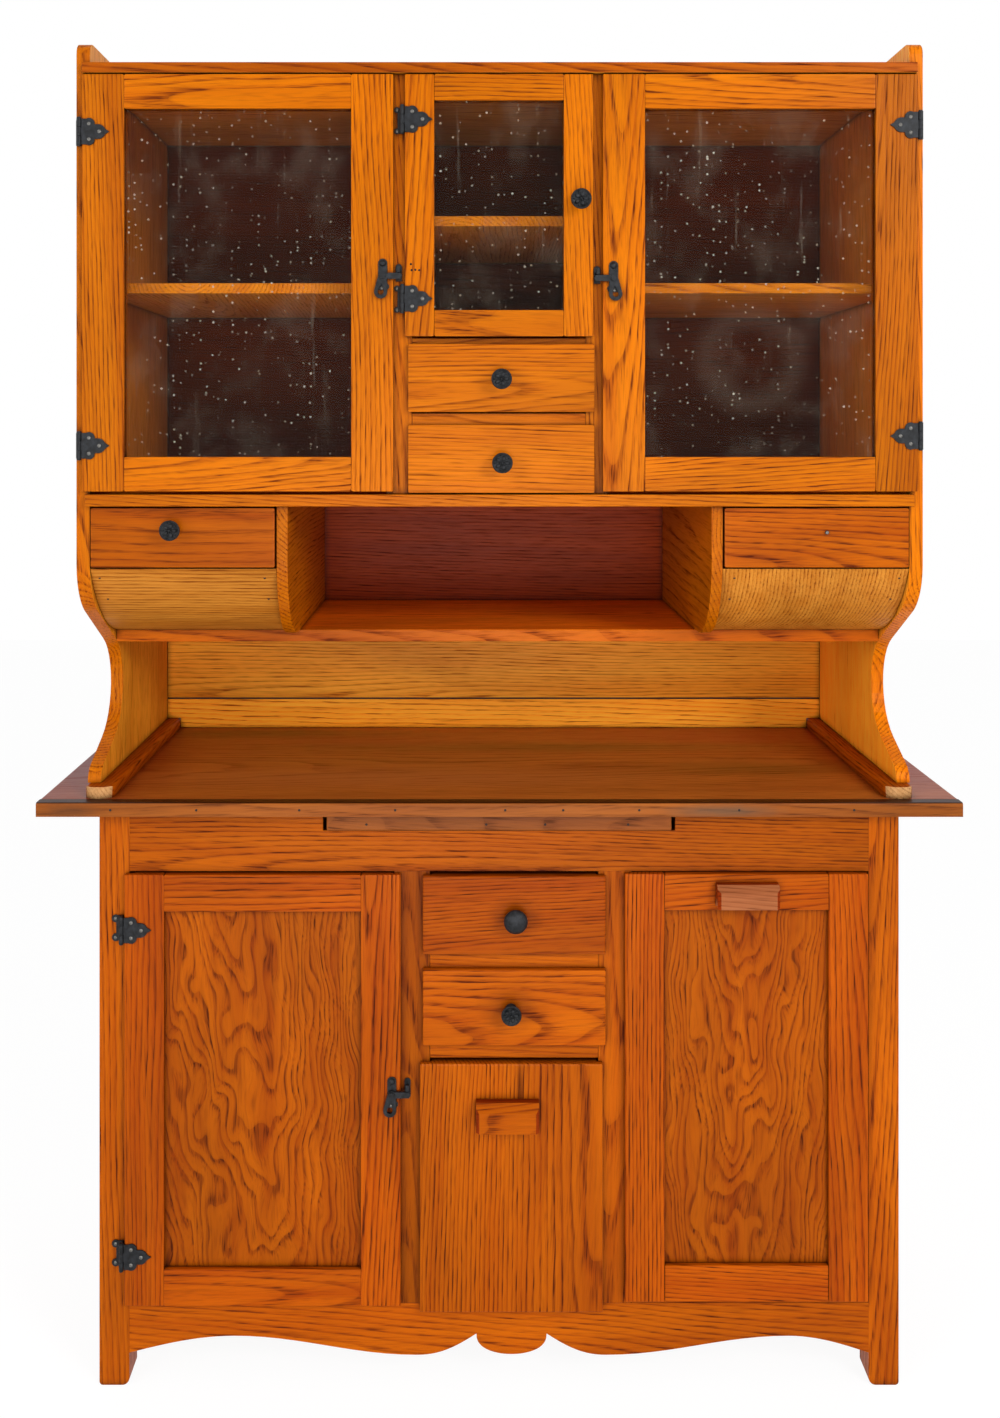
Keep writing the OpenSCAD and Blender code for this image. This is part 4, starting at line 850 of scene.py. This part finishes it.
for name, hinge in hinges.items():
    makeHingeScrews(name, hinge)
print("hinge screws made")


# Latches: a rivet at the head and a screw that shows through the lever's eye

latches = {
    "left": {"body": "left_door", "at": (-0.156, 1.510), "side": 1},
    "right": {"body": "right_door", "at": (0.1515, 1.507), "side": -1},
    "base": {"body": "base_door", "at": (-0.146, 0.403), "side": 1},
}
rivetLook = {"rise": 17 * mm, "size": (4.5 * mm, 4.5 * mm, 3 * mm)}
eyeScrew = {"across": 1 * mm, "drop": 16 * mm, "size": 0.6}


def makeLatchFixings(name, latch):
    x, z = latch["at"]
    under = (latch["body"] + "_irons", latch["body"] + "_frame")
    rivet, high = bmesh.new(), z + rivetLook["rise"]
    addDome(rivet, facing(x, seat(x, high, *under), high), rivetLook["size"])
    makePiece(name + "_latch_rivet", rivet, latch["body"], blackIron)
    eye = bmesh.new()
    x, z = x - latch["side"] * eyeScrew["across"], z - eyeScrew["drop"]
    addScrew(eye, x, seat(x, z, *under), z, eyeScrew["size"])
    makePiece(name + "_latch_screw", eye, latch["body"], paleSteel)


for name, latch in latches.items():
    makeLatchFixings(name, latch)
print("latch screws made")


# Cast knobs: a turned cup with five petals, leaves between them and a beaded rim

knob = {
    # radius and height over the front, in millimetres
    "profile": [(0, 0), (8, 0), (8, 1.4), (5.4, 3.4), (4.6, 9), (5.4, 13.6), (9, 16.4), (12.8, 18.2), (13.7, 19.6),
                (13.6, 20.8), (12.8, 21.5), (11.6, 21.2), (10.8, 20.4), (5, 20.6), (0, 20.8)],
    "steps": 40,
    "height": 24,
    "face": 20.6,
    "petals": 5,
    "beads": 26,
    "petalLean": -14,  # degrees
    # distance from the middle, height over the face, half sizes, and rings of the dome
    "petal": (5.6, 0.6, (3.7, 2.7, 1.5), (14, 8)),
    "crease": (3.2, 1.3, (1.4, 0.5, 1.3), (8, 6)),
    "leaf": (8.8, 0.2, (2.1, 1.2, 1.1), (10, 6)),
    "button": (0, 1.0, (2.0, 2.0, 2.2), (14, 8)),
    "bead": (12.1, 0.9, (0.95, 0.95, 0.95), (8, 6)),
}
knobs = {
    "middle_door_knob": "middle_door",
    "upper_knob_top": "upper_drawer_top",
    "upper_knob_low": "upper_drawer_low",
    "side_knob_left": "side_drawer_left",
    "base_knob_low": "base_drawer_low",
}


def addRelief(shape, top, kind, turn=0.0, lean=0.0):
    out, up, size, rings = knob[kind]
    place = top @ Matrix.Rotation(turn, 4, "Z") @ Matrix.Translation((out * mm, 0, up * mm))
    addDome(shape, place @ Matrix.Rotation(math.radians(lean), 4, "Y"), [half * mm for half in size], rings)


def makeKnob(name, body):
    low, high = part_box(name)
    frame = facing((low[0] + high[0]) / 2, high[1], (low[2] + high[2]) / 2)
    fit = (high[1] - low[1]) / (knob["height"] * mm)
    shape = bmesh.new()
    points = [shape.verts.new((r * mm, 0, h * mm * fit)) for r, h in knob["profile"]]
    line = [shape.edges.new(pair) for pair in zip(points, points[1:])]
    bmesh.ops.spin(
        shape, geom=points + line, axis=(0, 0, 1), cent=(0, 0, 0), steps=knob["steps"], angle=math.tau,
        use_merge=True,
    )
    bmesh.ops.remove_doubles(shape, verts=shape.verts, dist=0.01 * mm)
    shape.transform(frame)
    top = frame @ Matrix.Translation((0, 0, knob["face"] * mm * fit))
    fifth = math.tau / knob["petals"]
    for petal in range(knob["petals"]):
        addRelief(shape, top, "petal", petal * fifth, knob["petalLean"])
        addRelief(shape, top, "crease", petal * fifth)
        addRelief(shape, top, "leaf", (petal + 0.5) * fifth)
    addRelief(shape, top, "button")
    for bead in range(knob["beads"]):
        addRelief(shape, top, "bead", math.tau * bead / knob["beads"])
    piece = makePiece(name + "_cast", shape, body, blackIron)
    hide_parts(name)


for name, body in knobs.items():
    makeKnob(name, body)
print("cast knobs made")


# Nails, dark discs of painted shade for the holes left by an older latch, and the bare bolt's end

nailHead = {"radius": 1.7 * mm, "top": 1.5 * mm, "height": 0.25 * mm, "segments": 12}
nails = {
    "strip": {"body": "case", "on": "worktop_edge_strip", "z": 0.792,
              "x": (-0.525, -0.409, -0.270, -0.1406, 0.0078, 0.086, 0.1886, 0.3235, 0.4786)},
    "bread_board": {"body": "bread_board", "on": "bread_board", "z": 0.7666,
                    "x": (-0.181, -0.0176, 0.0629, 0.1761)},
    "bent_high": {"body": "case", "on": "bent_panels", "z": 1.106, "x": (-0.538, -0.316, 0.316, 0.538)},
    "bent_low": {"body": "case", "on": "bent_panels", "z": 1.075, "x": (-0.533, -0.314, 0.314, 0.533)},
}
oldHoles = {
    "at": ((-0.1185, 1.526), (-0.1175, 1.518), (-0.1125, 1.5185), (-0.1075, 1.518)),
    "radius": 1.5 * mm,
    "height": 0.12 * mm,
    "segments": 12,
}
boltEnd = {"share": 0.9, "top": 0.7, "height": 0.2 * mm}


def makeNails(name, row):
    shape = bmesh.new()
    for x in row["x"]:
        frame = facing(x, seat(x, row["z"], row["on"]), row["z"])
        addDisc(shape, frame, nailHead["radius"], nailHead["top"], nailHead["height"], nailHead["segments"])
    makePiece(name + "_nails", shape, row["body"], nailSteel)


# dark discs on the middle door: painted shade for the old screw holes
def makeOldHoles():
    shape = bmesh.new()
    radius = oldHoles["radius"]
    for x, z in oldHoles["at"]:
        frame = facing(x, seat(x, z, "middle_door_frame", "upper_dividers"), z)
        addDisc(shape, frame, radius, radius, oldHoles["height"], oldHoles["segments"])
    makePiece("old_screw_holes", shape, "middle_door", holeShade)


def makeBoltEnd():
    low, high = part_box("side_bolt_right")
    radius = (high[0] - low[0]) / 2
    shape = bmesh.new()
    frame = facing((low[0] + high[0]) / 2, low[1], (low[2] + high[2]) / 2)
    addDisc(shape, frame, radius * boltEnd["share"], radius * boltEnd["top"], boltEnd["height"])
    makePiece("bolt_end", shape, "side_drawer_right", paleSteel)


for name, row in nails.items():
    makeNails(name, row)
makeOldHoles()
makeBoltEnd()
print("nails and holes made")
